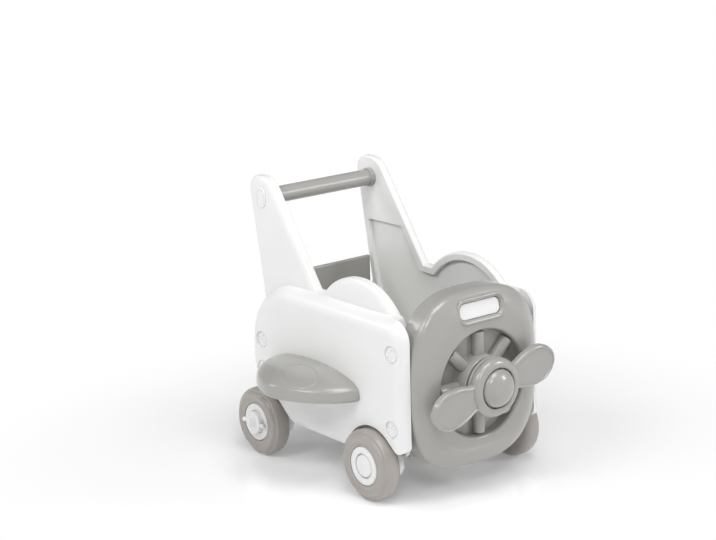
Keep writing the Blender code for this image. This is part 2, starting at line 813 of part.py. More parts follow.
def wings():
    """Stub wings, domed half superellipses that peg into the side shells."""
    outline = superellipse(WING_SPAN, WING_HALF_CHORD, WING_POINT, 32)
    shape = bmesh.new()
    shape.from_mesh(slab_mesh(
        "wing", outline, 0, WING_RIM, UPWARD, low_rim=roll(WING_ROLL, WING_ROLL, 2)
    ))
    top = max(shape.faces, key=lambda face: face.calc_center_median().z)
    lift, size = 0.0, 1.0
    for new_size in WING_RINGS:
        new_lift = WING_CROWN * math.sqrt(1 - new_size ** 2)
        grown = bmesh.ops.extrude_face_region(shape, geom=[top])["geom"]
        rim = [g for g in grown if isinstance(g, bmesh.types.BMVert)]
        bmesh.ops.delete(shape, geom=[top], context="FACES_ONLY")
        top = next(g for g in grown if isinstance(g, bmesh.types.BMFace))
        bmesh.ops.scale(shape, vec=(new_size / size, new_size / size, 1), verts=rim)
        bmesh.ops.translate(shape, vec=(0, 0, new_lift - lift), verts=rim)
        lift, size = new_lift, new_size
    cut = bmesh.ops.bisect_plane(
        shape, geom=list(shape.verts) + list(shape.edges) + list(shape.faces),
        plane_co=(0, 0, 0), plane_no=(1, 0, 0), clear_inner=True,
    )
    edges = [g for g in cut["geom_cut"] if isinstance(g, bmesh.types.BMEdge)]
    bmesh.ops.edgeloop_fill(shape, edges=edges)
    bmesh.ops.recalc_face_normals(shape, faces=shape.faces)
    mesh = bpy.data.meshes.new("wing_left")
    shape.to_mesh(mesh)
    shape.free()
    mesh.transform(Matrix.Translation((SWELL_X + SEAT, WING_Y, WING_BOTTOM)))
    wing = place("wing_left", mesh)
    for sign in (-1, 1):
        peg = drum(
            f"peg_{sign}", (WING_Y + sign * WING_PEG_SPREAD, WING_PEG_HEIGHT),
            WING_PEG_RADIUS, SWELL_X - 0.006, SWELL_X + 0.006, sides=16,
        )
        boolean(wing, peg, "UNION")
    part(wing, GREY)
    mirrored(wing, "wing_right", GREY)


def handle():
    """The bar, its end collars and the blank oval covers over its ends."""
    reach = LINER_X + BAR_INTO_TOWER
    bar = turned("handle_bar", [
        (BAR_RADIUS, reach),
        (BAR_RADIUS, -reach),
        (BAR_RADIUS - BAR_WALL, -reach),
        (BAR_RADIUS - BAR_WALL, reach),
    ], 20, (0, HANDLE_Y, HANDLE_HEIGHT), (0, math.pi / 2, 0), ring=True)
    part(bar, BAR_GREY)
    for name, sign in (("right", -1), ("left", 1)):
        inner = BAR_RADIUS + SEAT
        outer = inner + COLLAR_WALL
        end = LINER_X - SEAT
        collar = turned("handle_collar_" + name, [
            (outer, end),
            (outer, end - COLLAR_LENGTH),
            (inner, end - COLLAR_LENGTH),
            (inner, end),
        ], 16, (0, HANDLE_Y, HANDLE_HEIGHT), (0, sign * math.pi / 2, 0), ring=True)
        part(collar, BAR_GREY)
    cover = slab(
        "handle_cover_left",
        superellipse(COVER_HALF_LENGTH, COVER_HALF_HEIGHT, 2, 20, HANDLE_Y, HANDLE_HEIGHT),
        FACE_X + SEAT, FACE_X + SEAT + COVER_THICKNESS, high_rim=roll(0.0012, 0.0012, 1),
    )
    part(cover, WHITE)
    mirrored(cover, "handle_cover_right", WHITE)


def screw_covers():
    base = SWELL_X - SCREW_POCKET_DEPTH + SEAT
    radius = SCREW_COVER_RADIUS
    top = base + SCREW_COVER_THICKNESS
    for side, sign in (("right", -1), ("left", 1)):
        for name, y, height in SCREW_PLACES:
            cover = turned(f"screw_cover_{name}_{side}", [
                (0, top),
                (radius, top),
                (radius, base),
                (0, base),
            ], 12, (0, y, height), (0, sign * math.pi / 2, 0))
            part(cover, WHITE)


def bin_parts():
    """Floor tray with its rim and ribs, and the bent back panel between the liners."""
    half = LINER_X - SEAT
    front = LINER_FRONT + SEAT
    rear = BACK_Y - BACK_SET
    low = FLOOR_HEIGHT - FLOOR_RIM
    floor = block("bin_floor", (-half, front, low), (half, rear, FLOOR_HEIGHT + FLOOR_THICKNESS))
    pitch = (rear - front - FLOOR_THICKNESS) / (FLOOR_RIBS + 1)
    for k in range(FLOOR_RIBS + 1):
        near = front + FLOOR_THICKNESS + k * pitch
        far = near + pitch - FLOOR_THICKNESS
        for sign in (-1, 1):
            inner, outer = sorted((sign * FLOOR_THICKNESS / 2, sign * (half - FLOOR_THICKNESS)))
            boolean(floor, block(
                f"cell_{k}_{sign}", (inner, near, low - 0.01), (outer, far, FLOOR_HEIGHT)
            ))
    part(floor, GREY)
    thick = BACK_THICKNESS
    foot = rear + SEAT
    profile = rounded([
        (foot, low, 0),
        (foot + thick, low, 0),
        (BACK_Y + thick, BACK_BEND, 0.02),
        (BACK_Y + thick, BACK_TOP - thick, 0),
        (BACK_Y + BACK_LIP, BACK_TOP - thick, 0),
        (BACK_Y + BACK_LIP, BACK_TOP, 0.001),
        (BACK_Y, BACK_TOP, 0.002),
        (BACK_Y, BACK_BEND, 0.02),
    ], step=20)
    back = slab("back_panel", profile, -half, half)
    part(back, GREY)


def running_gear():
    """Axles, brackets, washers and nuts, then the wheels that turn on them."""
    bracket_high = SPLIT_X + SEAT + BRACKET_THICKNESS
    for end, y in (("front", 0.0), ("rear", WHEELBASE)):
        foot = BRACKET_FOOT
        edge = BRACKET_RADIUS
        outline = arc(y, 0, edge, 0, 180, 7) + rounded([
            (y - edge, -0.004, 0),
            (y - foot, BRACKET_BOTTOM, 0.012),
            (y + foot, BRACKET_BOTTOM, 0.012),
            (y + edge, -0.004, 0),
        ])
        bracket = slab(
            f"axle_bracket_{end}_left", outline, SPLIT_X + SEAT, bracket_high,
            high_rim=roll(0.003, 0.003, 1),
        )
        bore = drum(f"bore_{end}", (y, 0), AXLE_RADIUS + SEAT, 0.1, 0.2, sides=16)
        boolean(bracket, bore)
        part(bracket, WHITE)
        mirrored(bracket, f"axle_bracket_{end}_right", WHITE)
        past_nut = HUB_POCKET_FLOOR + NUT_HEIGHT + 0.001
        inside_drum = DRUM_TOP - DRUM_END_WALL - SEAT
        reach = WHEEL_MIDDLE_X + (past_nut if end == "front" else inside_drum)
        axle = turned(f"{end}_axle", [
            (0, reach),
            (AXLE_RADIUS, reach),
            (AXLE_RADIUS, -reach),
            (0, -reach),
        ], 12, (0, y, 0), (0, math.pi / 2, 0))
        part(axle, STEEL)
        for side, sign in (("right", -1), ("left", 1)):
            wheel(f"{end}_{side}", sign, y, end == "rear", bracket_high)


def wheel(name, sign, y, rear, bracket_high):
    """One wheel's tyre, core, washer, nut and its cap or adjuster, outer face outwards."""
    centre = (sign * WHEEL_MIDDLE_X, y, 0)
    facing = (0, sign * math.pi / 2, 0)
    half = WHEEL_WIDTH / 2
    radius = WHEEL_RADIUS
    seat = HUB_RADIUS + SEAT
    tyre = turned("tyre_" + name, [
        (seat, half - 0.002),
        (seat + 0.003, half),
        (radius - 0.012, half),
        (radius - 0.004, half - 0.005),
        (radius, half - 0.0125),
        (radius, -half + 0.010),
        (radius - 0.010, -half),
        (seat, -half),
    ], TYRE_SIDES, centre, facing, ring=True, flats=True)
    part(tyre, TYRE_GREY)
    back = -half + 0.0004
    web = back + HUB_BACK
    core = turned("wheel_core_" + name, [
        (HUB_POCKET_RADIUS, HUB_FACE),
        (HUB_RADIUS, HUB_FACE),
        (HUB_RADIUS, web),
        (WASHER_RADIUS, web),
        (WASHER_RADIUS, back),
        (AXLE_RADIUS + SEAT, back),
        (AXLE_RADIUS + SEAT, HUB_POCKET_FLOOR),
        (HUB_POCKET_RADIUS, HUB_POCKET_FLOOR),
    ], HUB_SIDES, centre, facing, ring=True)
    part(core, WHITE)
    inner = AXLE_RADIUS + SEAT
    low = bracket_high - WHEEL_MIDDLE_X + WASHER_GAP
    washer = turned("washer_" + name, [
        (WASHER_RADIUS, back - WASHER_GAP),
        (WASHER_RADIUS, low),
        (inner, low),
        (inner, back - WASHER_GAP),
    ], 10, centre, facing, ring=True)
    part(washer, STEEL)
    nut_low = HUB_POCKET_FLOOR + SEAT
    nut = turned("axle_nut_" + name, [
        (NUT_RADIUS, nut_low + NUT_HEIGHT),
        (NUT_RADIUS, nut_low),
        (inner, nut_low),
        (inner, nut_low + NUT_HEIGHT),
    ], 6, centre, facing, ring=True, flats=True)
    part(nut, STEEL)
    cap_radius = HUB_POCKET_RADIUS - SEAT
    cap_low = nut_low + NUT_HEIGHT + 0.002
    if not rear:
        cap = turned("hub_cap_" + name, [
            (0, HUB_FACE + CAP_PROUD),
            (cap_radius - 0.001, HUB_FACE + CAP_PROUD),
            (cap_radius, HUB_FACE + CAP_PROUD - 0.001),
            (cap_radius, cap_low),
            (0, cap_low),
        ], HUB_SIDES, centre, facing)
        part(cap, WHITE)
        return
    turning = HUB_POCKET_RADIUS * math.cos(math.pi / HUB_SIDES) - SEAT
    adjuster(name, centre, facing, turning, cap_low)


def adjuster(name, centre, facing, radius, low):
    """A drum turning on the axle's end, with a ball at each end of the pin across it."""
    item = turned("adjuster_" + name, [
        (0, DRUM_TOP),
        (radius - 0.003, DRUM_TOP),
        (radius, DRUM_TOP - 0.003),
        (radius, low),
        (AXLE_RADIUS + SEAT, low),
        (AXLE_RADIUS + SEAT, DRUM_TOP - DRUM_END_WALL),
        (0, DRUM_TOP - DRUM_END_WALL),
    ], 16, centre, facing)
    ball = ADJUSTER_BALL_RADIUS
    reach = ADJUSTER_BALL_REACH
    pin = ADJUSTER_PIN_RADIUS
    neck = math.degrees(math.pi - math.asin(pin / ball))
    knob = [(ball * math.sin(a), reach + ball * math.cos(a)) for a in
            [math.radians(neck * k / 4) for k in range(5)]]
    root = radius - 0.004
    out = math.copysign(ADJUSTER_HEIGHT, centre[0])
    for end, turn in (("front", 0), ("back", math.pi)):
        stub = turned(
            f"knob_{name}_{end}", knob + [(pin, root), (0, root)], 8,
            (centre[0] + out, centre[1], centre[2]), (math.pi / 2 + turn, 0, 0),
        )
        boolean(item, stub, "UNION")
    part(item, WHITE)


clear_scene()
walker = collection("push_walker")
cutters = collection("cutters", hidden=True)
frame = bpy.data.objects.new("walker_frame", None)
front_end = BOSS_FACE - RUNNING - CAP_HEIGHT
rear_end = WHEELBASE + WHEEL_RADIUS
frame.location = (0, -(front_end + rear_end) / 2, WHEEL_RADIUS)
walker.objects.link(frame)
side_shells()
side_liners()
nose_panel()
propeller()
wings()
handle()
screw_covers()
bin_parts()
running_gear()
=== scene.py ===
"""Looks of the push walker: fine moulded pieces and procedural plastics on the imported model.

Lengths are in metres. Y is counted from the front axle and moved onto the model at the end.
Side panels, wings, brackets and oval covers are made for the left side and mirrored.
"""

import math

import bmesh
import bpy
from mathutils import Matrix, Vector


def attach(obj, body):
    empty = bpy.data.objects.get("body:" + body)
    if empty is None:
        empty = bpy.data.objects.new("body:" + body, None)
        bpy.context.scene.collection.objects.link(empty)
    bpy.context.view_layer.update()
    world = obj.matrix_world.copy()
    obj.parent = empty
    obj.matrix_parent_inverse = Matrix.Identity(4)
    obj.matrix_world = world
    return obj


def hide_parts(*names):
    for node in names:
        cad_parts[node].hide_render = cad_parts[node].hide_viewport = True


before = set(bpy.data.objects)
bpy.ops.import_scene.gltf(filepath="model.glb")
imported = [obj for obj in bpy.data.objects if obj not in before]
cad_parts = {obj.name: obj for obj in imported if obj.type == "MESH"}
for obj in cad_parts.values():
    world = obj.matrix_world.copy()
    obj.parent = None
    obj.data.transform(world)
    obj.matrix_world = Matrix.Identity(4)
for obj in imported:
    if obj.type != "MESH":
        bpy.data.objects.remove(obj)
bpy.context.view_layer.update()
scene = bpy.context.scene

SIDEWAYS = Matrix(((0, 0, 1), (1, 0, 0), (0, 1, 0))).to_4x4()
FORWARD = Matrix(((1, 0, 0), (0, 0, -1), (0, 1, 0))).to_4x4()
UPRIGHT = Matrix.Identity(4)
FACING = (math.pi / 2, 0, 0)
SIDES = (("left", 1), ("right", -1))

# Fits, reach of cutting tools past what they cut, walls, and X levels of cuts right through
SEAT = 0.0003
OVERLAP = 0.0006
BEYOND = 0.002
SHELL_WALL, LINER_WALL, PANEL_WALL = 0.0035, 0.0025, 0.003
THROUGH, WELL_THROUGH = (0.1, 0.2), (0.09, 0.21)

# Wheels and axles
FRONT_AXLE = -0.10445
WHEEL_RADIUS, WHEEL_WIDTH, WHEEL_X, WHEELBASE = 0.0625, 0.0375, 0.1618, 0.3085
AXLE_BORE, HUB_POCKET, HUB_FLOOR = 0.0053, 0.0212, 0.004
TYRE_SEAT, HUB_RIM, HUB_TUBE, HUB_TUBE_REACH = 0.0346, 0.0343, 0.011, 0.004
AXLE_ENDS = (("front", 0.0), ("rear", WHEELBASE))
TYRE_OUTER = [
    (TYRE_SEAT, 0.0150), (0.0352, 0.0170), (0.0366, 0.0177), (0.0384, 0.0171), (0.0410, 0.0167),
    (0.0450, 0.0176), (0.0492, 0.0187), (0.0530, 0.0176), (0.0552, 0.0152), (0.0564, 0.0136),
    (0.0582, 0.0134), (0.0604, 0.0118), (0.0618, 0.0076), (0.0625, 0.0010),
]
TYRE_INNER = [
    (0.0624, -0.0050), (0.0612, -0.0110), (0.0580, -0.0155), (0.0530, -0.0180),
    (0.0440, -0.0187), (0.0360, -0.0187),
]
HUB_PROFILE = [
    (0.0216, 0.0148), (0.0222, 0.0162), (0.0234, 0.0168), (0.0300, 0.0168), (0.0316, 0.0170),
    (0.0328, 0.0168), (0.0337, 0.0163), (HUB_RIM, 0.0152),
]
DISC_PROFILE = [
    (0, 0.0180), (0.0120, 0.0179), (0.0160, 0.0176), (0.0180, 0.0171), (0.0194, 0.0160),
    (0.0202, 0.0144), (0.0204, 0.0130), (0.0204, 0.0108), (0, 0.0108),
]

# Wheel adjusters
DIAL_RADIUS, DIAL_TOP, DIAL_ROUND, DIAL_BACK = 0.0209, 0.0262, 0.0028, 0.0108
KNOB_BALL, KNOB_REACH, KNOB_HEIGHT = 0.0044, 0.028, 0.0224
RIDGE_PITCH, RIDGE_TALL, RIDGE_STEP, RIDGE_HALF_WIDTH = 0.0042, 0.0105, 0.0012, 0.0007

# Where the side panels stand, counted outwards from the middle
LINER_X, SPLIT_X, FACE_X, SWELL_X = 0.115, 0.126, 0.134, 0.160

# Side outline: body
BODY_TOP, BODY_FRONT, BODY_REAR, BODY_UNDER = 0.3235, -0.083, 0.346, 0.076
TOE_HEIGHT, TOE_CORNER, TOE_FLAT = 0.096, 0.016, 0.0006
NOSE_CORNER, TAIL_CORNER, TAIL_STRAIGHT = 0.036, 0.114, 0.048
TAIL_HIGH = BODY_TOP - TAIL_CORNER
TAIL_LOW = BODY_TOP - TAIL_CORNER - TAIL_STRAIGHT
BELLY_CORNER, BELLY_DEPTH, SWELL_ROLL, ARCH_GAP = 0.040, 0.066, 0.024, 0.0048
FRONT_ARCH_END, REAR_ARCH = 35, (130, 68)

# Side outline: tower and hump
VALLEY, HUMP_FOOT, HANDLE_Y, HANDLE_HEIGHT = 0.327, BODY_TOP - 0.0006, 0.3272, 0.4683
TOWER_FRONT_REACH, TOWER_FRONT_LEAN, TOWER_FRONT_ROUND = 0.0475, 0.708, 0.046
TOWER_REAR_REACH, TOWER_REAR_LEAN, TOWER_REAR_ROUND = 0.0374, 0.178, 0.026
TOWER_RISE, TOWER_FOOT_ROUND = 0.0385, 0.004
WAIST = VALLEY - TAIL_CORNER / 2
HUMP_Y, HUMP_TOP, HUMP_RADIUS = 0.064, 0.369, 0.1245
HUMP_CENTRE = HUMP_TOP - HUMP_RADIUS
FACE_ROLL, FACE_ROLL_DEPTH, FACE_SUNK, LINER_ROLL = 0.014, 0.0075, 0.085, 0.004
FRONT_CORNER_WIDE, FRONT_CORNER_TALL = 0.0178, 0.044

# Inner skin and its sunk field
FRAME_WIDTH, RECESS_DEPTH, RECESS_TOP = 0.015, 0.0087, 0.387
LINER_FRONT, LINER_UNDER, MOUTH_ROLL = -0.0514, 0.077, 0.0016
LINER_FOOT_ROUND, LINER_TAIL_ROUND, LINER_REAR_ROUND = 0.010, 0.020, 0.040
LINER_TAIL_SHORT, LINER_TAIL_RISE = 0.024, 0.020

# Screw covers: name, Y and height
SCREW_PLACES = (
    ("front_upper", BODY_FRONT + 0.0275, 0.267), ("front_lower", BODY_FRONT + 0.0295, 0.136),
    ("rear_upper", BODY_REAR - 0.038, 0.214), ("rear_lower", BODY_REAR - 0.038, 0.160),
)
SCREW_POCKET = [
    (0, 0.012), (0.0166, 0.012), (0.0164, 0.0004), (0.0157, -0.0002), (0.0153, -0.0009),
    (0.0151, -0.0033), (0, -0.0033),
]
COVER_BASE, COVER_RADIUS = SWELL_X - 0.0032, 0.0130
COVER_PROFILE = [
    (0, 0.0019), (0.0022, 0.0018), (0.0031, 0.0008), (0.0040, 0.0016), (0.0110, 0.0016),
    (0.0116, 0.0019), (COVER_RADIUS - 0.0010, 0.0018), (COVER_RADIUS, 0.0010),
    (COVER_RADIUS, 0), (0, 0),
]
DOTS, DOT_RING, DOT_START, DOT_LEVEL = 7, 0.0082, 0.3, 0.0016 * 0.85
DOT_PROFILE = [(0, 0.002), (0.0025, 0.002), (0.0024, 0.0002), (0.0017, -0.0010), (0, -0.0012)]

# Nose panel
PANEL_HALF_WIDTH, PANEL_HALF_HEIGHT, PANEL_MIDDLE, PANEL_SQUARENESS = 0.1395, 0.15575, 0.20175, 2.9
PANEL_BACK, PANEL_START, PANEL_FACE, PANEL_HOLLOW = -0.052, -0.080, -0.107, 0.093
PANEL_ROLL, CROWN_REACH, CROWN_SLOPE, CROWN_STEPS = 0.016, 0.042, 0.72, 14

# Engine in the nose panel
PROP_HEIGHT, DISH_RADIUS, DISH_DEPTH, DISH_BACKING = 0.195, 0.0935, 0.019, 0.0055
DISH_LIP, DISH_DRAFT, DISH_FILLET = 0.0042, 0.0015, 0.003
BOSS_RADIUS, BOSS_TOP = 0.0500, 0.1215
CYLINDERS, CYLINDER_RADIUS, CYLINDER_START, CYLINDER_END = 8, 0.0111, 0.0470, 0.0900

# Window in the nose panel, counted from its own middle
WINDOW_PLACE, WINDOW_TILT = (0, -0.1045, 0.3255), math.radians(-11)
WINDOW_HALF_WIDTH, WINDOW_HALF_HEIGHT, WINDOW_CORNER = 0.0445, 0.01375, 0.0105
WINDOW_FLOOR, PLATE_LEVELS = -0.0085, (-0.0082, -0.0057)
LIP_REACH, LIP_LEVELS, POCKET_REACH = 0.0088, (-0.014, 0.0010), 0.0058
POCKET_RIM = [(0.0012, 0.0004), (0.0032, 0.0046), (0.0002, 0.0040)]

# Propeller
PROP_BACK, PROP_HUB, PROP_HUB_LENGTH, PROP_ANGLE = -0.1221, 0.0515, 0.024, math.radians(11.5)
HUB_SHOULDER, HUB_LIP, HUB_POCKET_FLOOR, PROP_BORE = 0.0115, 0.0022, 0.016, 0.0043
HUB_STEPS = [
    (PROP_HUB, 0.0098), (PROP_HUB - 0.0028, 0.0088), (PROP_HUB - 0.0032, 0.0062),
    (PROP_HUB - 0.0004, 0.0052), (PROP_HUB, 0.0044), (PROP_HUB, 0.0010), (PROP_HUB - 0.0010, 0.0),
]
BLADE_SIDE = [
    (0.030, 0.0225), (0.050, 0.0240), (0.068, 0.0300), (0.090, 0.0340), (0.110, 0.0325),
    (0.126, 0.0243), (0.136, 0.0122),
]
BLADE_TIP = [(0.136, 0.0122), (0.1382, 0.0062), (0.139, 0.0)]
BLADE_BACK, BLADE_FACE, BLADE_BACK_ROLL, BLADE_ROLL = 0.0038, 0.0172, 0.004, 0.0052
CAP_RADIUS, CAP_HEIGHT, CAP_GAP, CAP_SUNK = 0.0335, 0.0400, 0.0019, 0.005
CAP_BACK, CAP_HOLLOW, CAP_HOLLOW_TOP = 0.0165, 0.012, 0.022

# Wings
WING_Y, WING_HALF_CHORD, WING_SPAN, WING_BOTTOM, WING_RIM = 0.153, 0.125, 0.101, 0.165, 0.015
WING_CROWN, WING_POINT, WING_STEPS, WING_ROWS, DOME_START = 0.032, 1.62, 96, 18, 0.971
WING_UNDER_IN, WING_UNDER_UP, SHOULDER_IN, SHOULDER_UP = 0.0080, 0.0070, 0.0045, 0.01335
SHOULDER_DROP, SHOULDER_TURN, SHOULDER_STEPS = 0.0055, math.radians(65), 10
PAD_U, PAD_V, PAD_HALF_U, PAD_HALF_V, PAD_SIDES = 0.054, -0.026, 0.031, 0.046, 80
PAD_RINGS = [
    (1.0, -0.0006), (1.0, 0.0004), (0.985, 0.0009), (0.955, 0.0011), (0.90, 0.0011),
    (0.875, 0.0009), (0.865, 0.0003), (0.80, 0.0002), (0.72, 0.0002), (0.71, 0.0006),
    (0.69, 0.0008), (0.5, 0.0008), (0.3, 0.0008), (0.1, 0.0008),
]

# Handle
BAR_OUTER, BAR_INNER, BAR_HALF, BAR_MARK, COLLAR_BORE = 0.015, 0.013, 0.123, 0.06, 0.0153
COVER_OVAL, GROOVE_OVAL, ISLAND_OVAL = (0.013, 0.019), (0.0098, 0.0158), (0.0084, 0.0144)

# Bin
TRAY_LOW, TRAY_TOP, TRAY_CELL_TOP = 0.075, 0.087, 0.084
TRAY_CORNER, TRAY_ROWS, TRAY_RIB = 0.004, 5, 0.003
BACK_Y, BACK_FOOT, BACK_BEND, BACK_TOP = 0.333, 0.016, 0.150, 0.317
BACK_WALL, BACK_LIP = 0.003, 0.008

# Axle brackets
BRACKET_RADIUS, BRACKET_FOOT, BRACKET_LOW, BRACKET_DEPTH = 0.045, 0.036, 0.041, 0.0125
BRACKET_ROUND, BRACKET_ROLL = 0.012, 0.003

# Camera, fitted to the photograph
AZIMUTH, ELEVATION, TILT = math.radians(-38.39), math.radians(14.807), math.radians(-1.541)
CAMERA_PLACE = (-2.08965, -2.51643, 1.21903)
FOCAL_PIXELS, PICTURE_PIXELS, SENSOR = 1935.85, 716, 36.0

# Reach of the floor's fade, climb of the sky and its tones at both ends
FLOOR_FADE, SKY_CLIMB, SKY_TONES = (0.24, 0.85), (0.0, 0.42), (0.62, 0.16)

# Lights: name, place, what it aims at, size and power in watts
LIGHTS = (
    ("side", (-2.05, -0.25, 2.05), (0, 0, 0.2), (1.0, 1.0), 21),
    ("left", (-1.25, -1.70, 1.85), (0, 0, 0.2), (0.6, 0.8), 13.5),
    ("right", (1.40, -1.60, 1.10), (0, 0, 0.2), (0.45, 0.6), 13),
    ("rear", (-1.70, 1.70, 1.70), (0, 0, 0.2), (0.6, 0.6), 10),
    ("top", (-0.2, -0.85, 2.6), (0, 0, 0.1), (1.2, 1.2), 32),
)


def quarter(steps, first=0):
    """The angles of a quarter turn in equal steps."""
    return [math.pi / 2 * k / steps for k in range(first, steps + 1)]


def whole(steps):
    """The angles of a whole turn in equal steps."""
    return [2 * math.pi * k / steps for k in range(steps)]


def outward(sign):
    """The turn that points a lathed piece's top away from the middle."""
    return 0, sign * math.pi / 2, 0


def arc(centre_u, centre_v, radius, start, end, steps):
    angles = [math.radians(start + (end - start) * k / steps) for k in range(steps + 1)]
    return [(centre_u + radius * math.cos(a), centre_v + radius * math.sin(a)) for a in angles]


def rounded(corners, step=5):
    """An outline through (u, v, radius) corners, with arcs of about step degrees a side."""
    outline = []
    count = len(corners)
    for k, (u, v, radius) in enumerate(corners):
        here = Vector((u, v))
        if radius <= 0:
            outline.append((u, v))
            continue
        before = (Vector(corners[k - 1][:2]) - here).normalized()
        after = (Vector(corners[(k + 1) % count][:2]) - here).normalized()
        half = before.angle(after) / 2
        centre = here + (before + after).normalized() * (radius / math.sin(half))
        first = here + before * (radius / math.tan(half)) - centre
        last = here + after * (radius / math.tan(half)) - centre
        turn = first.angle_signed(last)
        steps = max(1, round(abs(math.degrees(turn)) / step))
        start = math.atan2(first.y, first.x)
        for j in range(steps + 1):
            angle = start - turn * j / steps
            outline.append((centre.x + radius * math.cos(angle),
                            centre.y + radius * math.sin(angle)))
    return outline


def superellipse(half_u, half_v, power, sides, centre_u=0.0, centre_v=0.0):
    outline = []
    for k in range(sides):
        angle = 2 * math.pi * (k + 0.5) / sides
        c, s = math.cos(angle), math.sin(angle)
        outline.append((
            centre_u + half_u * math.copysign(abs(c) ** (2 / power), c),
            centre_v + half_v * math.copysign(abs(s) ** (2 / power), s),
        ))
    return outline


def roll(inward, depth, steps):
    """The (inward, rise) steps of a rounded edge, from the wall to the face."""
    turns = quarter(steps)
    return [
        (inward * (math.cos(a) - math.cos(b)), depth * (math.sin(b) - math.sin(a)))
        for a, b in zip(turns, turns[1:])
    ]


def smooth_line(points, per_span):
    """A curve through the points, several steps to each span."""
    padded = [2 * Vector(points[0]) - Vector(points[1])] + [Vector(p) for p in points]
    padded.append(2 * Vector(points[-1]) - Vector(points[-2]))
    line = []
    for k in range(1, len(padded) - 2):
        a, b, c, d = padded[k - 1:k + 3]
        for j in range(per_span):
            t = j / per_span
            line.append(0.5 * (2 * b + (c - a) * t + (2 * a - 5 * b + 4 * c - d) * t * t
                               + (3 * b - a - 3 * c + d) * t ** 3))
    line.append(padded[-2])
    return [tuple(p) for p in line]


def mesh_of(name, shape):
    mesh = bpy.data.meshes.new(name)
    shape.to_mesh(mesh)
    shape.free()
    return mesh


def new(name, mesh, location=(0, 0, 0), rotation=(0, 0, 0)):
    made = bpy.data.objects.new(name, mesh)
    made.location = location
    made.rotation_euler = rotation
    scene.collection.objects.link(made)
    return made


def settle(item):
    """Moves the object's own place and turn into its mesh."""
    item.data.transform(item.matrix_basis)
    item.matrix_basis = Matrix.Identity(4)


def baked(item):
    bpy.context.view_layer.update()
    graph = bpy.context.evaluated_depsgraph_get()
    return bpy.data.meshes.new_from_object(item.evaluated_get(graph), depsgraph=graph)


def combine(item, *tools):
    """Cuts and joins the tools, each (operation, object), and leaves one plain mesh."""
    for operation, tool in tools:
        modifier = item.modifiers.new(operation, "BOOLEAN")
        modifier.object = tool
        modifier.operation = operation
        modifier.solver = "EXACT"
    mesh = baked(item)
    item.modifiers.clear()
    item.data = mesh
    for _, tool in tools:
        bpy.data.objects.remove(tool, do_unlink=True)
    return item


def outline_mesh(name, outline, thickness):
    shape = bmesh.new()
    low = [shape.verts.new((u, v, -thickness / 2)) for u, v in outline]
    high = [shape.verts.new((u, v, thickness / 2)) for u, v in outline]
    shape.faces.new(low)
    shape.faces.new(high)
    count = len(outline)
    for k in range(count):
        j = (k + 1) % count
        shape.faces.new((low[k], low[j], high[j], high[k]))
    bmesh.ops.remove_doubles(shape, verts=shape.verts, dist=0.000001)
    bmesh.ops.recalc_face_normals(shape, faces=shape.faces)
    return mesh_of(name, shape)


def slab_mesh(name, outline, low, high, axes=SIDEWAYS, low_rim=(), high_rim=()):
    """A plate between two levels, whose rims are (inward, rise) steps from the wall."""
    low_wall = low + sum(rise for _, rise in low_rim)
    high_wall = high - sum(rise for _, rise in high_rim)
    mesh = outline_mesh(name, outline, high_wall - low_wall)
    shape = bmesh.new()
    shape.from_mesh(mesh)
    for side, rim in ((1, high_rim), (-1, low_rim)):
        face = max(shape.faces, key=lambda each: side * each.calc_center_median().z)
        for inward, rise in rim:
            bmesh.ops.inset_region(
                shape, faces=[face], thickness=inward, depth=rise, use_even_offset=True
            )
    shape.to_mesh(mesh)
    shape.free()
    mesh.transform(axes @ Matrix.Translation((0, 0, (low_wall + high_wall) / 2)))
    return mesh


def slab(name, outline, low, high, axes=SIDEWAYS, low_rim=(), high_rim=()):
    return new(name, slab_mesh(name, outline, low, high, axes, low_rim, high_rim))


def lathe_mesh(name, profile, sides, ring=False):
    """A (radius, height) profile turned about Z, from its top down its outer side."""
    on_axis = 0.0000001
    shape = bmesh.new()
    loops = []
    for radius, height in profile:
        if radius < on_axis:
            loops.append([shape.verts.new((0, 0, height))])
            continue
        loops.append([
            shape.verts.new((radius * math.cos(a), radius * math.sin(a), height))
            for a in whole(sides)
        ])
    pairs = list(zip(loops, loops[1:]))
    if ring:
        pairs.append((loops[-1], loops[0]))
    for upper, lower in pairs:
        for k in range(sides):
            j = (k + 1) % sides
            if len(upper) == 1:
                shape.faces.new((upper[0], lower[k], lower[j]))
            elif len(lower) == 1:
                shape.faces.new((upper[k], lower[0], upper[j]))
            else:
                shape.faces.new((upper[k], lower[k], lower[j], upper[j]))
    bmesh.ops.recalc_face_normals(shape, faces=shape.faces)
    return mesh_of(name, shape)


def lathe(name, profile, sides, location=(0, 0, 0), rotation=(0, 0, 0), ring=False):
    return new(name, lathe_mesh(name, profile, sides, ring), location, rotation)


def block(name, low, high):
    low, high = Vector(low), Vector(high)
    shape = bmesh.new()
    bmesh.ops.create_cube(shape, size=1, matrix=Matrix.Diagonal((*(high - low), 1)))
    mesh = mesh_of(name, shape)
    mesh.transform(Matrix.Translation((low + high) / 2))
    return new(name, mesh)


def drum(name, centre, radius, low, high, axes=SIDEWAYS, sides=48):
    mesh = lathe_mesh(name, [(0, high), (radius, high), (radius, low), (0, low)], sides)
    mesh.transform(axes @ Matrix.Translation((*centre, 0)))
    return new(name, mesh)


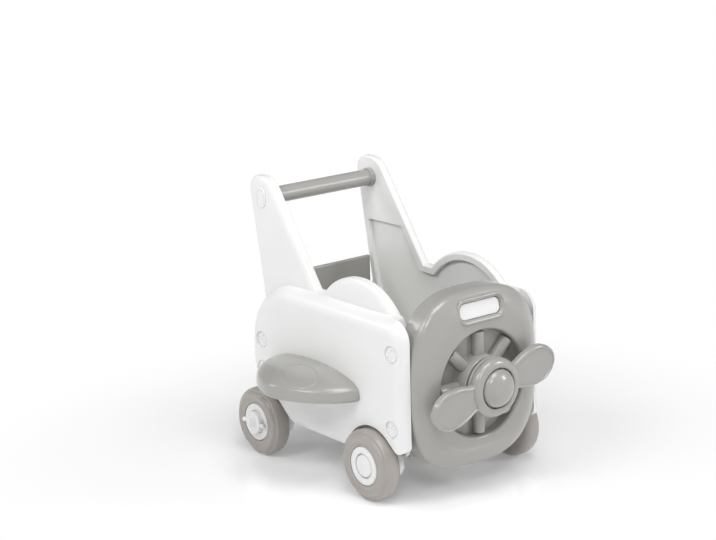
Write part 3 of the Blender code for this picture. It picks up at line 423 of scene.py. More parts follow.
def finished(item, body, look, nodes, sharp=32, mirror=None):
    """Settles a piece: shading, material, place, and the CAD nodes that it stands for."""
    settle(item)
    mesh = item.data
    mesh.transform(Matrix.Translation((0, FRONT_AXLE, 0)))
    pairs = [(item, body, nodes)]
    if mirror:
        other = mesh.copy()
        other.transform(Matrix.Scale(-1, 4, Vector((1, 0, 0))))
        other.flip_normals()
        pairs.append((new(mirror[0], other), mirror[1], mirror[2]))
    for each, each_body, each_nodes in pairs:
        each.data.materials.clear()
        each.data.materials.append(look)
        each.data.shade_smooth()
        each.data.set_sharp_from_angle(angle=math.radians(sharp))
        weighted = each.modifiers.new("even_shading", "WEIGHTED_NORMAL")
        weighted.keep_sharp = True
        weighted.weight = 60
        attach(each, each_body)
        if each_nodes:
            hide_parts(*each_nodes)
    return item


def noise(nodes, links, place, scale, detail):
    made = nodes.new("ShaderNodeTexNoise")
    made.inputs["Scale"].default_value = scale
    made.inputs["Detail"].default_value = detail
    links.new(place.outputs["Object"], made.inputs["Vector"])
    return made


def plastic(name, colour, roughness, grain=0.02, grain_scale=900.0, coat=0.0, mottle=0.02,
            wave=0.05):
    """Moulded plastic: a faint skin grain, slow unevenness in gloss and in tone."""
    made = bpy.data.materials.new(name)
    made.use_nodes = True
    nodes, links = made.node_tree.nodes, made.node_tree.links
    shader = nodes["Principled BSDF"]
    shader.inputs["IOR"].default_value = 1.47
    shader.inputs["Coat Weight"].default_value = coat
    shader.inputs["Coat Roughness"].default_value = 0.18
    place = nodes.new("ShaderNodeTexCoord")
    tone = noise(nodes, links, place, 7.0, 3.0)
    tones = nodes.new("ShaderNodeValToRGB")
    ends = zip(tones.color_ramp.elements, (0.3, 0.7), (1 - mottle, 1 + mottle))
    for element, position, share in ends:
        element.position = position
        element.color = (*[min(1, c * share) for c in colour], 1)
    links.new(tone.outputs["Fac"], tones.inputs["Fac"])
    links.new(tones.outputs["Color"], shader.inputs["Base Color"])
    sheen = noise(nodes, links, place, 38.0, 4.0)
    gloss = nodes.new("ShaderNodeMapRange")
    gloss.inputs["To Min"].default_value = roughness * (1 - wave)
    gloss.inputs["To Max"].default_value = roughness * (1 + wave)
    links.new(sheen.outputs["Fac"], gloss.inputs["Value"])
    links.new(gloss.outputs["Result"], shader.inputs["Roughness"])
    skin = noise(nodes, links, place, grain_scale, 2.0)
    bump = nodes.new("ShaderNodeBump")
    bump.inputs["Strength"].default_value = grain
    bump.inputs["Distance"].default_value = 0.0004
    links.new(skin.outputs["Fac"], bump.inputs["Height"])
    links.new(bump.outputs["Normal"], shader.inputs["Normal"])
    return made


def metal(name, colour, roughness):
    """Zinc-plated steel with fine turning marks."""
    made = plastic(name, colour, roughness, grain=0.05, grain_scale=1400.0, mottle=0.06, wave=0.15)
    made.node_tree.nodes["Principled BSDF"].inputs["Metallic"].default_value = 1.0
    return made


WHITE = plastic("white_moulding", (0.79, 0.79, 0.787), 0.32, coat=0.2)
LINER_WHITE = plastic("white_liner", (0.83, 0.83, 0.815), 0.36)
GREY = plastic("grey_moulding", (0.345, 0.339, 0.322), 0.29, grain=0.03, coat=0.5)
BAR = plastic("bar_grip", (0.36, 0.35, 0.335), 0.34, grain=0.03, coat=0.2)
TYRE = plastic("tyre_tread", (0.355, 0.328, 0.305), 0.30, grain=0.05, grain_scale=700.0, coat=0.4)
STEEL = metal("plated_steel", (0.55, 0.56, 0.57), 0.32)


def tower_front(height):
    return HANDLE_Y - TOWER_FRONT_REACH + TOWER_FRONT_LEAN * (height - HANDLE_HEIGHT)


def tower_rear(height):
    return HANDLE_Y + TOWER_REAR_REACH + TOWER_REAR_LEAN * (height - HANDLE_HEIGHT)


def tower_and_hump(level, inset, rear_foot):
    """The upper outline, from the tower's rear foot forward and over the hump."""
    top = HANDLE_HEIGHT + TOWER_RISE - inset
    lean_front = inset * math.hypot(1, TOWER_FRONT_LEAN)
    lean_rear = inset * math.hypot(1, TOWER_REAR_LEAN)
    tower = rounded([
        (tower_rear(rear_foot) - lean_rear, rear_foot, 0),
        (tower_rear(top) - lean_rear, top, TOWER_REAR_ROUND - inset),
        (tower_front(top) + lean_front, top, TOWER_FRONT_ROUND - inset),
        (tower_front(level) + lean_front, level, TOWER_FOOT_ROUND + inset),
        (HUMP_Y + 0.02, level, 0),
    ])
    radius = HUMP_RADIUS - inset
    start = math.degrees(math.asin((level - HUMP_CENTRE) / radius))
    end = 180 - math.degrees(math.asin((HUMP_FOOT - inset - HUMP_CENTRE) / radius))
    return tower[:-1] + arc(HUMP_Y, HUMP_CENTRE, radius, start, end, 40)


def front_corner(front, inset):
    """The long quarter oval from the foot of the hump down to the front end."""
    wide, tall = FRONT_CORNER_WIDE - inset, FRONT_CORNER_TALL - inset
    return [(front + wide * (1 - math.sin(a)), HUMP_FOOT - inset - tall * (1 - math.cos(a)))
            for a in quarter(18)]


def face_outline(inset):
    sunk = VALLEY - FACE_SUNK + inset
    front = LINER_FRONT + SEAT + inset
    front_end = rounded([
        (HUMP_Y, HUMP_FOOT - inset, 0),
        (front, HUMP_FOOT - inset, FRONT_CORNER_WIDE - inset),
        (front, sunk, 0),
    ])
    return tower_and_hump(VALLEY - inset, inset, sunk) + front_end[1:]


def body_outline(inset, front, step=4):
    top = BODY_TOP - inset
    rear = BODY_REAR - inset
    belly = BELLY_DEPTH + inset
    return rounded([
        (front, top, NOSE_CORNER - inset),
        (rear, top, TAIL_CORNER - inset),
        (rear, TAIL_LOW, TAIL_CORNER / 2),
        (rear - BELLY_CORNER, belly, BELLY_CORNER),
        (front, belly, NOSE_CORNER - inset),
    ], step)


def flare(axle_y, radius, angle, level, back):
    """Where the straight leg that leaves a wheel arch at an angle meets a level."""
    turn = math.radians(angle)
    start = Vector((axle_y + radius * math.cos(turn), WHEEL_RADIUS + radius * math.sin(turn)))
    slope = Vector((math.sin(turn), -math.cos(turn))) * (1 if back else -1)
    return start.x + slope.x * (level - start.y) / slope.y, level


def under_outline(offset):
    """What is cut away from below: the toe, both wheel arches and the belly between them."""
    past = 0.06
    radius = WHEEL_RADIUS + ARCH_GAP + offset
    toe = Vector((BODY_FRONT + TOE_CORNER + TOE_FLAT, TOE_HEIGHT + offset - WHEEL_RADIUS))
    leg = math.degrees(math.atan2(toe.y, toe.x) - math.acos(radius / toe.length))
    toe.y += WHEEL_RADIUS
    under = BODY_UNDER + offset
    corner = TOE_CORNER - offset
    rear_arch = arc(WHEELBASE, WHEEL_RADIUS, radius, *REAR_ARCH, 24)
    return [
        (BODY_FRONT - past, -past),
        (BODY_FRONT - past, toe.y + corner),
        *arc(BODY_FRONT + TOE_CORNER - SEAT, toe.y + corner, corner, 180, 270, 14),
        tuple(toe),
        *arc(0, WHEEL_RADIUS, radius, leg, FRONT_ARCH_END, 36),
        flare(0, radius, FRONT_ARCH_END, under, True),
        flare(WHEELBASE, radius, REAR_ARCH[0], under, False),
        *rear_arch,
        (BODY_REAR + past, rear_arch[-1][1]),
        (BODY_REAR + past, -past),
    ]


def shells():
    """The outer side panels: body with its swell, tower and hump face, hollow inside."""
    base, swell, clear = SPLIT_X + SEAT, SWELL_X - FACE_X + OVERLAP, 0.05
    shell = slab("shell_left", body_outline(0, BODY_FRONT), base + OVERLAP, SWELL_X,
                 high_rim=roll(SWELL_ROLL, swell, 14))
    face = slab("face", face_outline(0), base, FACE_X,
                high_rim=roll(FACE_ROLL, FACE_ROLL_DEPTH, 9))
    hollow = slab("hollow", body_outline(SHELL_WALL, LINER_FRONT + SHELL_WALL, 12),
                  SPLIT_X - BEYOND, SWELL_X - SHELL_WALL,
                  high_rim=roll(SWELL_ROLL - SHELL_WALL, swell, 4))
    upper = slab("upper_hollow", face_outline(SHELL_WALL), SPLIT_X - BEYOND - OVERLAP,
                 FACE_X - SHELL_WALL)
    combine(hollow, ("UNION", upper),
            ("DIFFERENCE", slab("under_hollow", under_outline(SHELL_WALL), *THROUGH)))
    room = block("room", (LINER_X, BODY_FRONT - clear, 0),
                 (PANEL_HALF_WIDTH + OVERLAP, PANEL_BACK + OVERLAP, VALLEY + clear))
    tools = [("UNION", face), ("DIFFERENCE", hollow),
             ("DIFFERENCE", slab("under", under_outline(0), *WELL_THROUGH)), ("DIFFERENCE", room)]
    for _, y, height in SCREW_PLACES:
        pocket = lathe("pocket", SCREW_POCKET, 64, (SWELL_X, y, height), outward(1))
        tools.append(("DIFFERENCE", pocket))
    combine(shell, *tools)
    finished(shell, "walker", WHITE, ["side_shell_left"],
             mirror=("shell_right", "walker", ["side_shell_right"]))


def liner_outline(inset):
    low = LINER_UNDER + inset
    rear = BODY_REAR - inset
    front = front_corner(LINER_FRONT + inset, inset)
    return tower_and_hump(VALLEY - inset, inset, WAIST) + front[:-1] + rounded([
        (*front[-1], 0),
        (LINER_FRONT + inset, low, LINER_FOOT_ROUND),
        (rear - LINER_TAIL_SHORT, low, LINER_TAIL_ROUND),
        (rear, TAIL_LOW, LINER_REAR_ROUND),
        (rear, TAIL_HIGH + LINER_TAIL_RISE, LINER_REAR_ROUND),
        (tower_rear(WAIST) - inset + 0.002, WAIST - 0.003, 0),
    ])


def recess_outline(grow):
    """The sunk field of the inner skin, one frame width inside its outline."""
    edge = FRAME_WIDTH - grow
    lean_front = edge * math.hypot(1, TOWER_FRONT_LEAN)
    lean_rear = edge * math.hypot(1, TOWER_REAR_LEAN)
    top = RECESS_TOP + grow
    level = VALLEY - edge
    radius = HUMP_RADIUS - edge
    front = LINER_FRONT + edge
    low = LINER_UNDER + edge + 0.005
    start = math.degrees(math.asin((level - HUMP_CENTRE) / radius))
    end = math.degrees(math.acos((front - HUMP_Y) / radius))
    corner = FRAME_WIDTH / 3 + grow
    tail_corner = 0.030
    upper = rounded([
        (tower_rear(WAIST) - lean_rear, WAIST, 0),
        (tower_rear(top) - lean_rear, top, corner),
        (tower_front(top) + lean_front, top, corner),
        (tower_front(level) + lean_front, level, corner),
        (HUMP_Y + radius * math.cos(math.radians(start)) + 0.004, level, 0),
    ])
    lower = rounded([
        (front, low, corner * 2),
        (BODY_REAR - edge - 0.022, low, corner * 2),
        (BODY_REAR - edge, TAIL_LOW, tail_corner),
        (BODY_REAR - edge - 0.003, TAIL_HIGH + 0.012, tail_corner),
    ])
    return upper + arc(HUMP_Y, HUMP_CENTRE, radius, start, end, 36) + lower


def liners():
    """The inner skins, with their sunk field and the hole for the bar."""
    floor = LINER_X + RECESS_DEPTH
    liner = slab("liner_left", liner_outline(0), LINER_X, SPLIT_X,
                 low_rim=roll(LINER_ROLL, LINER_ROLL, 7))
    recess = slab("recess", recess_outline(0), floor - 0.0122, floor)
    mouth = slab("mouth", recess_outline(MOUTH_ROLL), LINER_X - 0.01, LINER_X + MOUTH_ROLL,
                 high_rim=roll(MOUTH_ROLL, MOUTH_ROLL, 3))
    inside = slab("inside", liner_outline(LINER_WALL), LINER_X + LINER_WALL, THROUGH[1])
    backing = slab("backing", recess_outline(LINER_WALL), LINER_X + 0.001, floor + LINER_WALL)
    bar_hole = drum("bar_hole", (HANDLE_Y, HANDLE_HEIGHT), COLLAR_BORE, *THROUGH)
    combine(liner, ("DIFFERENCE", inside), ("UNION", backing), ("DIFFERENCE", recess),
            ("DIFFERENCE", mouth), ("DIFFERENCE", bar_hole))
    finished(liner, "walker", LINER_WHITE, ["side_liner_left"],
             mirror=("liner_right", "walker", ["side_liner_right"]))


def screw_covers():
    """Blank covers, each with a ring of small dimples."""
    for side, sign in SIDES:
        for name, y, height in SCREW_PLACES:
            cover = lathe("cover_" + name + "_" + side, COVER_PROFILE, 72,
                          (sign * COVER_BASE, y, height), outward(sign))
            settle(cover)
            dots = []
            for k in range(DOTS):
                a = 2 * math.pi * k / DOTS + DOT_START
                spot = (sign * (COVER_BASE + DOT_LEVEL), y + DOT_RING * math.cos(a),
                        height + DOT_RING * math.sin(a))
                dots.append(("DIFFERENCE", lathe("dot", DOT_PROFILE, 16, spot, outward(sign))))
            combine(cover, *dots)
            finished(cover, "walker", WHITE, [f"screw_cover_{name}_{side}"])


def panel_outline(grow=0.0, sides=144):
    return superellipse(PANEL_HALF_WIDTH + grow, PANEL_HALF_HEIGHT + grow, PANEL_SQUARENESS,
                        sides, 0, PANEL_MIDDLE)


def panel_rim():
    """The rounded edge, then the slow crown up to the dish."""
    rim = roll(PANEL_ROLL, PANEL_ROLL, 30)[:21]
    reach = CROWN_REACH - sum(step[0] for step in rim)
    for k in range(CROWN_STEPS):
        a, b = k / CROWN_STEPS, (k + 1) / CROWN_STEPS
        rise = CROWN_SLOPE * reach * ((b - b * b / 2) - (a - a * a / 2))
        rim.append((reach / CROWN_STEPS, rise))
    return rim


def engine_tools(flat, floor):
    """The dish with its rolled lip, the boss in it and the cylinders round the boss."""
    centre = (0, 0, PROP_HEIGHT)
    cup = drum("cup", (0, PROP_HEIGHT), DISH_RADIUS + PANEL_WALL, floor - DISH_BACKING, 0.096,
               FORWARD, 128)
    lip = [(DISH_RADIUS + DISH_LIP * (1 - math.sin(a)), flat - DISH_LIP * (1 - math.cos(a)))
           for a in quarter(8)]
    fillet = [(DISH_RADIUS - DISH_DRAFT - DISH_FILLET * (1 - math.cos(a)),
               floor + DISH_FILLET * (1 - math.sin(a))) for a in quarter(5)]
    dish = lathe("dish", [(0, flat + 0.02), (lip[0][0], flat + 0.02), *lip, *fillet, (0, floor)],
                 160, centre, FACING)
    boss = lathe("boss", [
        (0, BOSS_TOP), (BOSS_RADIUS - 0.0100, BOSS_TOP), (BOSS_RADIUS - 0.0090, BOSS_TOP - 0.0058),
        (BOSS_RADIUS - 0.0022, BOSS_TOP - 0.0050), (BOSS_RADIUS - 0.0008, BOSS_TOP - 0.0054),
        (BOSS_RADIUS, BOSS_TOP - 0.0068),
        (BOSS_RADIUS, floor + 0.0022), (BOSS_RADIUS + 0.0008, floor + 0.0006),
        (BOSS_RADIUS + 0.0022, floor - 0.001), (0, floor - 0.001),
    ], 120, centre, FACING)
    tools = [("UNION", cup), ("DIFFERENCE", dish), ("UNION", boss)]
    for k, turn in enumerate(whole(CYLINDERS)):
        rib = lathe(f"rib_{k}", [
            (0, CYLINDER_END), (0.0082, CYLINDER_END), (0.0100, CYLINDER_END - 0.0009),
            (0.0109, CYLINDER_END - 0.0026), (CYLINDER_RADIUS, CYLINDER_START),
            (0, CYLINDER_START),
        ], 40, (0, -(floor + DISH_BACKING), PROP_HEIGHT), (0, turn, 0))
        tools.append(("UNION", rib))
    return tools


def window_outline(grow):
    half_u, half_v = WINDOW_HALF_WIDTH - SEAT + grow, WINDOW_HALF_HEIGHT - SEAT + grow
    return rounded([(sx * half_u, sz * half_v, WINDOW_CORNER + grow)
                    for sx, sz in ((-1, -1), (1, -1), (1, 1), (-1, 1))], step=6)


def nose_panel():
    """The grey nose with its engine, and the white plate in its window."""
    rim = panel_rim()
    flat = -PANEL_START + sum(step[1] for step in rim)
    panel = slab("nose_panel", panel_outline(), -PANEL_BACK, flat, FORWARD, high_rim=rim)
    hollow = slab("panel_hollow", panel_outline(-PANEL_WALL, 72), -PANEL_BACK - BEYOND,
                  PANEL_HOLLOW, FORWARD, high_rim=roll(0.013, 0.016, 5))
    tilt = Matrix.Translation(WINDOW_PLACE) @ Matrix.Rotation(WINDOW_TILT, 4, "X") @ FORWARD
    bevel = slab("window_lip", window_outline(LIP_REACH), *LIP_LEVELS, tilt,
                 high_rim=roll(0.0024, 0.0026, 6))
    pocket = slab("window_pocket", window_outline(POCKET_REACH), WINDOW_FLOOR, 0.02, tilt,
                  low_rim=POCKET_RIM)
    combine(panel, ("DIFFERENCE", hollow), *engine_tools(flat, -PANEL_FACE - DISH_DEPTH),
            ("UNION", bevel), ("DIFFERENCE", pocket))
    finished(panel, "walker", GREY, ["front_panel"], sharp=28)
    plate = slab("nose_window", window_outline(0.0), *PLATE_LEVELS, tilt,
                 high_rim=roll(0.0008, 0.0008, 3))
    finished(plate, "walker", WHITE, ["window_plate"])


def propeller():
    """Two paddle blades with a raised edge, joined to the stepped hub, and the domed cap."""
    centre = (0, PROP_BACK, PROP_HEIGHT)
    half = smooth_line(BLADE_SIDE, 5) + smooth_line(BLADE_TIP, 3)[1:]
    one = half + [(u, -v) for u, v in reversed(half[:-1])]
    rim = roll(BLADE_ROLL, BLADE_ROLL, 8) + [(0.0009, -0.0013), (0.0008, -0.0001)]
    blades = slab_mesh("prop_blades", one + [(-u, -v) for u, v in one], BLADE_BACK, BLADE_FACE,
                       FORWARD, roll(BLADE_BACK_ROLL, BLADE_BACK_ROLL, 4), rim)
    item = new("prop_blades", blades, centre, (0, -PROP_ANGLE, 0))
    shoulder = arc(PROP_HUB - HUB_SHOULDER, PROP_HUB_LENGTH - HUB_SHOULDER, HUB_SHOULDER,
                   90, 0, 10)
    inner = CAP_RADIUS + CAP_GAP
    lip = arc(inner + HUB_LIP, PROP_HUB_LENGTH - HUB_LIP, HUB_LIP, 180, 90, 6)
    hub = lathe("prop_hub", [(0, HUB_POCKET_FLOOR), (inner, HUB_POCKET_FLOOR), *lip, *shoulder,
                             *HUB_STEPS, (0, 0.0)], 128, centre, FACING)
    room = lathe("hub_room", [
        (0, 0.05), (inner, 0.05), (inner, HUB_POCKET_FLOOR), (PROP_BORE, HUB_POCKET_FLOOR),
        (PROP_BORE, -0.01), (0, -0.01),
    ], 96, centre, FACING)
    settle(item)
    combine(item, ("UNION", hub), ("DIFFERENCE", room))
    finished(item, "propeller", GREY, ["propeller"], sharp=30)
    low = PROP_HUB_LENGTH - CAP_SUNK
    dome = [(CAP_RADIUS * math.sin(a), low + (CAP_HEIGHT - low) * math.cos(a))
            for a in quarter(24)]
    cap = lathe("nose_dome", dome + [
        (CAP_RADIUS, CAP_BACK), (CAP_HOLLOW, CAP_BACK), (CAP_HOLLOW, CAP_HOLLOW_TOP),
        (0, CAP_HOLLOW_TOP),
    ], 96, centre, FACING)
    finished(cap, "propeller", GREY, ["nose_cap"])


def wing_lift(u, v):
    """Height of the wing's domed top above its rim."""
    size = (abs(u / WING_SPAN) ** WING_POINT
            + abs(v / WING_HALF_CHORD) ** WING_POINT) ** (1 / WING_POINT)
    return WING_CROWN * math.sqrt(1 - min(1.0, size) ** 2)


def wing_edge(angle, grow=0.0):
    c, s = math.cos(angle), math.sin(angle)
    return ((WING_SPAN + grow) * math.copysign(abs(c) ** (2 / WING_POINT), c),
            (WING_HALF_CHORD + grow) * math.copysign(abs(s) ** (2 / WING_POINT), s))


def wing_skins():
    """A domed half plate, whose rim turns into the dome over a smooth shoulder."""
    angles = [-math.pi / 2 + math.pi * k / WING_STEPS for k in range(WING_STEPS + 1)]
    profile = [(-WING_UNDER_IN, 0.0)] + [
        (-WING_UNDER_IN * (1 - math.sin(a)), WING_UNDER_UP * (1 - math.cos(a)))
        for a in quarter(7, 1)
    ] + [
        (-SHOULDER_IN * (1 - math.cos(a)), WING_RIM - SHOULDER_DROP + SHOULDER_UP * math.sin(a))
        for a in [SHOULDER_TURN * k / SHOULDER_STEPS for k in range(SHOULDER_STEPS + 1)]
    ]
    shape = bmesh.new()
    rows = []
    for grow, height in profile:
        edge = [wing_edge(a, grow) for a in angles]
        rows.append([shape.verts.new((max(0.0, u), v, height)) for u, v in edge])
    edge = [wing_edge(a) for a in angles]
    for k in range(WING_ROWS):
        size = DOME_START * math.cos(math.pi / 2 * (k / WING_ROWS) ** 0.9)
        rows.append([
            shape.verts.new((max(0.0, u * size), v * size,
                             WING_RIM + wing_lift(u * size, v * size))) for u, v in edge
        ])
    top = shape.verts.new((0, 0, WING_RIM + WING_CROWN))
    low = shape.verts.new((0, 0, 0))
    for upper, lower in zip(rows[1:], rows):
        for k in range(WING_STEPS):
            shape.faces.new((lower[k], lower[k + 1], upper[k + 1], upper[k]))
    for k in range(WING_STEPS):
        shape.faces.new((rows[-1][k], rows[-1][k + 1], top))
        shape.faces.new((rows[0][k + 1], rows[0][k], low))
    bmesh.ops.remove_doubles(shape, verts=shape.verts, dist=0.00001)
    edges = [e for e in shape.edges if len(e.link_faces) == 1]
    bmesh.ops.edgeloop_fill(shape, edges=edges)
    bmesh.ops.recalc_face_normals(shape, faces=shape.faces)
    mesh = mesh_of("wing_skin_left", shape)
    mesh.transform(Matrix.Translation((SWELL_X + SEAT, WING_Y, WING_BOTTOM)))
    finished(new("wing_skin_left", mesh), "walker", GREY, ["wing_left"], sharp=40,
             mirror=("wing_skin_right", "walker", ["wing_right"]))


def wing_pads():
    """A blank oval with a raised border on each wing's dome."""
    shape = bmesh.new()
    loops = []
    for size, rise in PAD_RINGS:
        loop = []
        for a in whole(PAD_SIDES):
            u = PAD_U + PAD_HALF_U * size * math.cos(a)
            v = PAD_V + PAD_HALF_V * size * math.sin(a)
            loop.append(shape.verts.new((u, v, WING_RIM + wing_lift(u, v) + rise)))
        loops.append(loop)
    for outer, inner in zip(loops, loops[1:]):
        for k in range(PAD_SIDES):
            j = (k + 1) % PAD_SIDES
            shape.faces.new((outer[k], outer[j], inner[j], inner[k]))
    shape.faces.new(loops[-1])
    shape.faces.new(list(reversed(loops[0])))
    bmesh.ops.recalc_face_normals(shape, faces=shape.faces)
    mesh = mesh_of("wing_pad_left", shape)
    mesh.transform(Matrix.Translation((SWELL_X + SEAT, WING_Y, WING_BOTTOM)))
    finished(new("wing_pad_left", mesh), "walker", GREY, [], sharp=50,
             mirror=("wing_pad_right", "walker", []))


def handle_oval(name, half_u, half_v, low, high, **rims):
    outline = superellipse(half_u, half_v, 2, 96, HANDLE_Y, HANDLE_HEIGHT)
    return slab(name, outline, FACE_X + low, FACE_X + high, **rims)


def handle():
    """The grip tube, its end collars and the oval covers outside."""
    place = (0, HANDLE_Y, HANDLE_HEIGHT)
    bar = lathe("grip_bar", [
        (BAR_OUTER, BAR_HALF), (BAR_OUTER, BAR_MARK), (BAR_OUTER, -BAR_MARK),
        (BAR_OUTER, -BAR_HALF), (BAR_INNER, -BAR_HALF), (BAR_INNER, BAR_HALF),
    ], 72, place, outward(1), ring=True)
    finished(bar, "walker", BAR, ["handle_bar"])
    for name, sign in reversed(SIDES):
        end = LINER_X - SEAT
        collar = lathe("grip_collar_" + name, [
            (0.0169, end), (0.0172, end - 0.001), (0.0172, end - 0.0068), (0.0168, end - 0.0082),
            (0.0160, end - 0.009), (COLLAR_BORE, end - 0.009), (COLLAR_BORE, end),
        ], 72, place, outward(sign), ring=True)
        finished(collar, "walker", BAR, ["handle_collar_" + name])
    cover = handle_oval("end_cover_left", *COVER_OVAL, SEAT, SEAT + 0.002,
                        high_rim=roll(0.0012, 0.0012, 5))
    groove = handle_oval("groove", *GROOVE_OVAL, 0.0015, 0.006,
                         low_rim=roll(0.0005, 0.0005, 2))
    island = handle_oval("island", *ISLAND_OVAL, 0.001, 0.0021,
                         high_rim=roll(0.0005, 0.0005, 3))
    combine(cover, ("DIFFERENCE", groove), ("UNION", island))
    finished(cover, "walker", WHITE, ["handle_cover_left"],
             mirror=("end_cover_right", "walker", ["handle_cover_right"]))


def box_outline(low_u, high_u, low_v, high_v, corner, step):
    return rounded([(low_u, low_v, corner), (high_u, low_v, corner), (high_u, high_v, corner),
                    (low_u, high_v, corner)], step)


def bin_parts():
    """The tray, with hollow cells under it, and the bent back panel."""
    half = LINER_X - SEAT
    front, rear = LINER_FRONT + SEAT, BACK_Y - BACK_FOOT
    floor = slab("bin_tray", box_outline(-half, half, front, rear, TRAY_CORNER, 10), TRAY_LOW,
                 TRAY_TOP, UPRIGHT, high_rim=roll(0.0012, 0.0012, 3))
    tools = []
    pitch = (rear - front - TRAY_RIB) / TRAY_ROWS
    for k in range(TRAY_ROWS):
        near = front + TRAY_RIB + k * pitch
        for low_u, high_u in ((-half + TRAY_RIB, -TRAY_RIB / 2), (TRAY_RIB / 2, half - TRAY_RIB)):
            cell = box_outline(low_u, high_u, near, near + pitch - TRAY_RIB, 0.006, 15)
            room = slab("cell", cell, TRAY_LOW - 0.01, TRAY_CELL_TOP, UPRIGHT)
            tools.append(("DIFFERENCE", room))
    combine(floor, *tools)
    finished(floor, "walker", GREY, ["bin_floor"])
    foot, edge = rear + SEAT, 0.0008
    profile = rounded([
        (foot, TRAY_LOW, edge), (foot + BACK_WALL, TRAY_LOW, edge),
        (BACK_Y + BACK_WALL, BACK_BEND, 0.02), (BACK_Y + BACK_WALL, BACK_TOP - BACK_WALL, edge),
        (BACK_Y + BACK_LIP, BACK_TOP - BACK_WALL, edge), (BACK_Y + BACK_LIP, BACK_TOP, 0.0014),
        (BACK_Y, BACK_TOP, 0.0028), (BACK_Y, BACK_BEND, 0.02),
    ], step=8)
    bevel = roll(0.0004, 0.0004, 1)
    back = slab("bin_back", profile, -half, half, low_rim=bevel, high_rim=bevel)
    finished(back, "walker", GREY, ["back_panel"])


def wheels():
    """Tyres and cores, and the discs of the front wheels."""
    half = WHEEL_WIDTH / 2
    back = -half + 0.0004
    tyre_profile = smooth_line(TYRE_OUTER, 5) + smooth_line(TYRE_INNER, 4)
    tyre_profile.append((TYRE_SEAT, -half + 0.0008))
    core_profile = HUB_PROFILE + [
        (HUB_RIM, back + HUB_TUBE_REACH), (HUB_TUBE, back + HUB_TUBE_REACH),
        (HUB_TUBE, back), (AXLE_BORE, back),
        (AXLE_BORE, HUB_FLOOR), (HUB_POCKET, HUB_FLOOR), (HUB_POCKET, 0.0162),
    ]
    for end, y in AXLE_ENDS:
        for side, sign in SIDES:
            centre, body = (sign * WHEEL_X, y, WHEEL_RADIUS), f"wheel_{end}_{side}"
            tyre = lathe(f"tread_{end}_{side}", tyre_profile, 144, centre, outward(sign),
                         ring=True)
            finished(tyre, body, TYRE, [f"tyre_{end}_{side}"], sharp=50)
            core = lathe(f"hub_{end}_{side}", core_profile, 112, centre, outward(sign),
                         ring=True)
            finished(core, body, WHITE, [f"wheel_core_{end}_{side}"], sharp=35)
            if end == "front":
                disc = lathe("hub_disc_" + side, DISC_PROFILE, 96, centre, outward(sign))
                finished(disc, body, WHITE, [f"hub_cap_front_{side}"], sharp=35)


def adjusters():
    """The dials on the rear wheels: a drum with two ball knobs and five low ridges."""
    shoulder = arc(DIAL_RADIUS - DIAL_ROUND, DIAL_TOP - DIAL_ROUND, DIAL_ROUND, 90, 0, 6)
    profile = [
        (0, DIAL_TOP - 0.0012), (0.0135, DIAL_TOP - 0.0012), (0.0143, DIAL_TOP - 0.0008),
        (0.0148, DIAL_TOP), *shoulder, (DIAL_RADIUS, DIAL_BACK), (AXLE_BORE, DIAL_BACK),
        (AXLE_BORE, DIAL_TOP - 0.003), (0, DIAL_TOP - 0.003),
    ]
    knob = [(KNOB_BALL * math.sin(a), KNOB_REACH + KNOB_BALL * math.cos(a)) for a in
            [math.radians(140 * k / 14) for k in range(15)]]
    knob += [(0.0028, 0.0245), (0.0028, 0.017), (0, 0.017)]
    for side, sign in SIDES:
        item = lathe("dial_" + side, profile, 96, (sign * WHEEL_X, WHEELBASE, WHEEL_RADIUS),
                     outward(sign))
        settle(item)
        out = sign * (WHEEL_X + KNOB_HEIGHT)
        tools = []
        for turn in (0, math.pi):
            tools.append(("UNION", lathe("knob", knob, 32, (out, WHEELBASE, WHEEL_RADIUS),
                                         (math.pi / 2 + turn, 0, 0))))
        low, high = sorted(sign * (WHEEL_X + DIAL_TOP - sunk) for sunk in (0.0016, 0.0002))
        for k in (-2, -1, 0, 1, 2):
            y, tall = WHEELBASE + k * RIDGE_PITCH, RIDGE_TALL - RIDGE_STEP * abs(k)
            ridge = block("ridge", (low, y - RIDGE_HALF_WIDTH, WHEEL_RADIUS - tall),
                          (high, y + RIDGE_HALF_WIDTH, WHEEL_RADIUS + tall))
            tools.append(("UNION", ridge))
        combine(item, *tools)
        finished(item, "adjuster_" + side, WHITE, ["adjuster_rear_" + side],
                 sharp=38)


def brackets():
    """The blocks between body and wheels that carry the axles."""
    low, foot_level = SPLIT_X + SEAT, WHEEL_RADIUS - 0.004
    for end, y in AXLE_ENDS:
        outline = arc(y, WHEEL_RADIUS, BRACKET_RADIUS, 0, 180, 40) + rounded([
            (y - BRACKET_RADIUS, foot_level, 0), (y - BRACKET_FOOT, BRACKET_LOW, BRACKET_ROUND),
            (y + BRACKET_FOOT, BRACKET_LOW, BRACKET_ROUND), (y + BRACKET_RADIUS, foot_level, 0),
        ], step=8)
        bracket = slab(f"hanger_{end}_left", outline, low, low + BRACKET_DEPTH,
                       high_rim=roll(BRACKET_ROLL, BRACKET_ROLL, 5))
        bore = drum("bore", (y, WHEEL_RADIUS), AXLE_BORE, *THROUGH, sides=32)
        combine(bracket, ("DIFFERENCE", bore))
        finished(bracket, "walker", WHITE, [f"axle_bracket_{end}_left"],
                 mirror=(f"hanger_{end}_right", "walker", [f"axle_bracket_{end}_right"]))


def kept_nodes():
    """Gives the CAD pieces that stay in view their material."""
    steel = ("front_axle", "rear_axle", "washer", "axle_nut", "propeller_axle")
    for name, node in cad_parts.items():
        if node.hide_render:
            continue
        node.data.materials.clear()
        node.data.materials.append(STEEL if name.startswith(steel) else GREY)


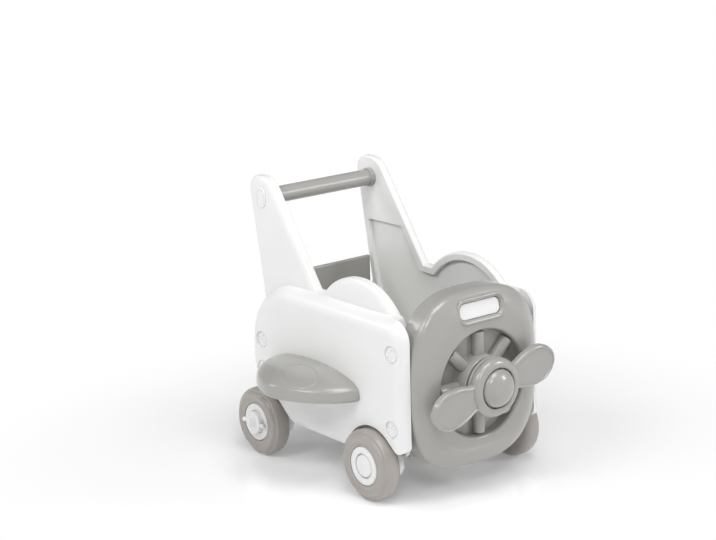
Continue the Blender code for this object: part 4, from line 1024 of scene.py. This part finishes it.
def camera():
    back = Vector((math.sin(AZIMUTH) * math.cos(ELEVATION),
                   -math.cos(AZIMUTH) * math.cos(ELEVATION), math.sin(ELEVATION)))
    right = Vector((math.cos(AZIMUTH), math.sin(AZIMUTH), 0))
    up = back.cross(right)
    across = math.cos(TILT) * right + math.sin(TILT) * up
    upward = -math.sin(TILT) * right + math.cos(TILT) * up
    data = bpy.data.cameras.new("photo_camera")
    data.sensor_fit = "HORIZONTAL"
    data.sensor_width = SENSOR
    data.lens = FOCAL_PIXELS * SENSOR / PICTURE_PIXELS
    data.clip_end = 200.0
    seen = bpy.data.objects.new("photo_camera", data)
    seen.matrix_world = Matrix((
        (across.x, upward.x, back.x, CAMERA_PLACE[0]),
        (across.y, upward.y, back.y, CAMERA_PLACE[1]),
        (across.z, upward.z, back.z, CAMERA_PLACE[2]),
        (0, 0, 0, 1),
    ))
    scene.collection.objects.link(seen)
    scene.camera = seen


def area_light(name, place, target, size, power):
    data = bpy.data.lights.new(name, "AREA")
    data.shape = "RECTANGLE"
    data.size, data.size_y = size
    data.energy = power
    lamp = bpy.data.objects.new(name, data)
    lamp.location = place
    lamp.rotation_euler = (Vector(target) - Vector(place)).to_track_quat("-Z", "Y").to_euler()
    scene.collection.objects.link(lamp)


def smooth_range(nodes, from_low, from_high, to_low=0.0, to_high=1.0):
    made = nodes.new("ShaderNodeMapRange")
    made.interpolation_type = "SMOOTHSTEP"
    made.inputs["From Min"].default_value = from_low
    made.inputs["From Max"].default_value = from_high
    made.inputs["To Min"].default_value = to_low
    made.inputs["To Max"].default_value = to_high
    return made


def floor_material():
    """Pale gloss under the walker that fades into plain white further out."""
    made = bpy.data.materials.new("studio_floor")
    made.use_nodes = True
    nodes, links = made.node_tree.nodes, made.node_tree.links
    shader = nodes["Principled BSDF"]
    shader.inputs["Base Color"].default_value = (0.91, 0.91, 0.92, 1)
    shader.inputs["Roughness"].default_value = 0.07
    shader.inputs["IOR"].default_value = 1.45
    shader.inputs["Emission Color"].default_value = (1, 1, 1, 1)
    shader.inputs["Emission Strength"].default_value = 0.16
    place = nodes.new("ShaderNodeTexCoord")
    reach = nodes.new("ShaderNodeVectorMath")
    reach.operation = "LENGTH"
    links.new(place.outputs["Object"], reach.inputs[0])
    fade = smooth_range(nodes, *FLOOR_FADE)
    links.new(reach.outputs["Value"], fade.inputs["Value"])
    glow = nodes.new("ShaderNodeEmission")
    glow.inputs["Color"].default_value = (1, 1, 1, 1)
    glow.inputs["Strength"].default_value = 1.0
    mix = nodes.new("ShaderNodeMixShader")
    links.new(fade.outputs["Result"], mix.inputs["Fac"])
    links.new(shader.outputs["BSDF"], mix.inputs[1])
    links.new(glow.outputs["Emission"], mix.inputs[2])
    links.new(mix.outputs["Shader"], nodes["Material Output"].inputs["Surface"])
    return made


def sky():
    """A grey studio sky that gets paler towards the horizon."""
    world = bpy.data.worlds.new("studio")
    scene.world = world
    world.use_nodes = True
    nodes, links = world.node_tree.nodes, world.node_tree.links
    background = nodes["Background"]
    background.inputs["Strength"].default_value = 1.0
    place = nodes.new("ShaderNodeTexCoord")
    split = nodes.new("ShaderNodeSeparateXYZ")
    links.new(place.outputs["Generated"], split.inputs["Vector"])
    climb = smooth_range(nodes, *SKY_CLIMB, *SKY_TONES)
    links.new(split.outputs["Z"], climb.inputs["Value"])
    links.new(climb.outputs["Result"], background.inputs["Color"])


def stage():
    shape = bmesh.new()
    bmesh.ops.create_grid(shape, x_segments=2, y_segments=2, size=40)
    mesh = mesh_of("studio_floor", shape)
    mesh.materials.append(floor_material())
    floor = new("studio_floor", mesh)
    sky()
    for light in LIGHTS:
        area_light(*light)
    scene.view_settings.view_transform = "Standard"


shells()
liners()
screw_covers()
nose_panel()
propeller()
wing_skins()
wing_pads()
handle()
bin_parts()
wheels()
adjusters()
brackets()
kept_nodes()
camera()
stage()
bpy.context.view_layer.update()
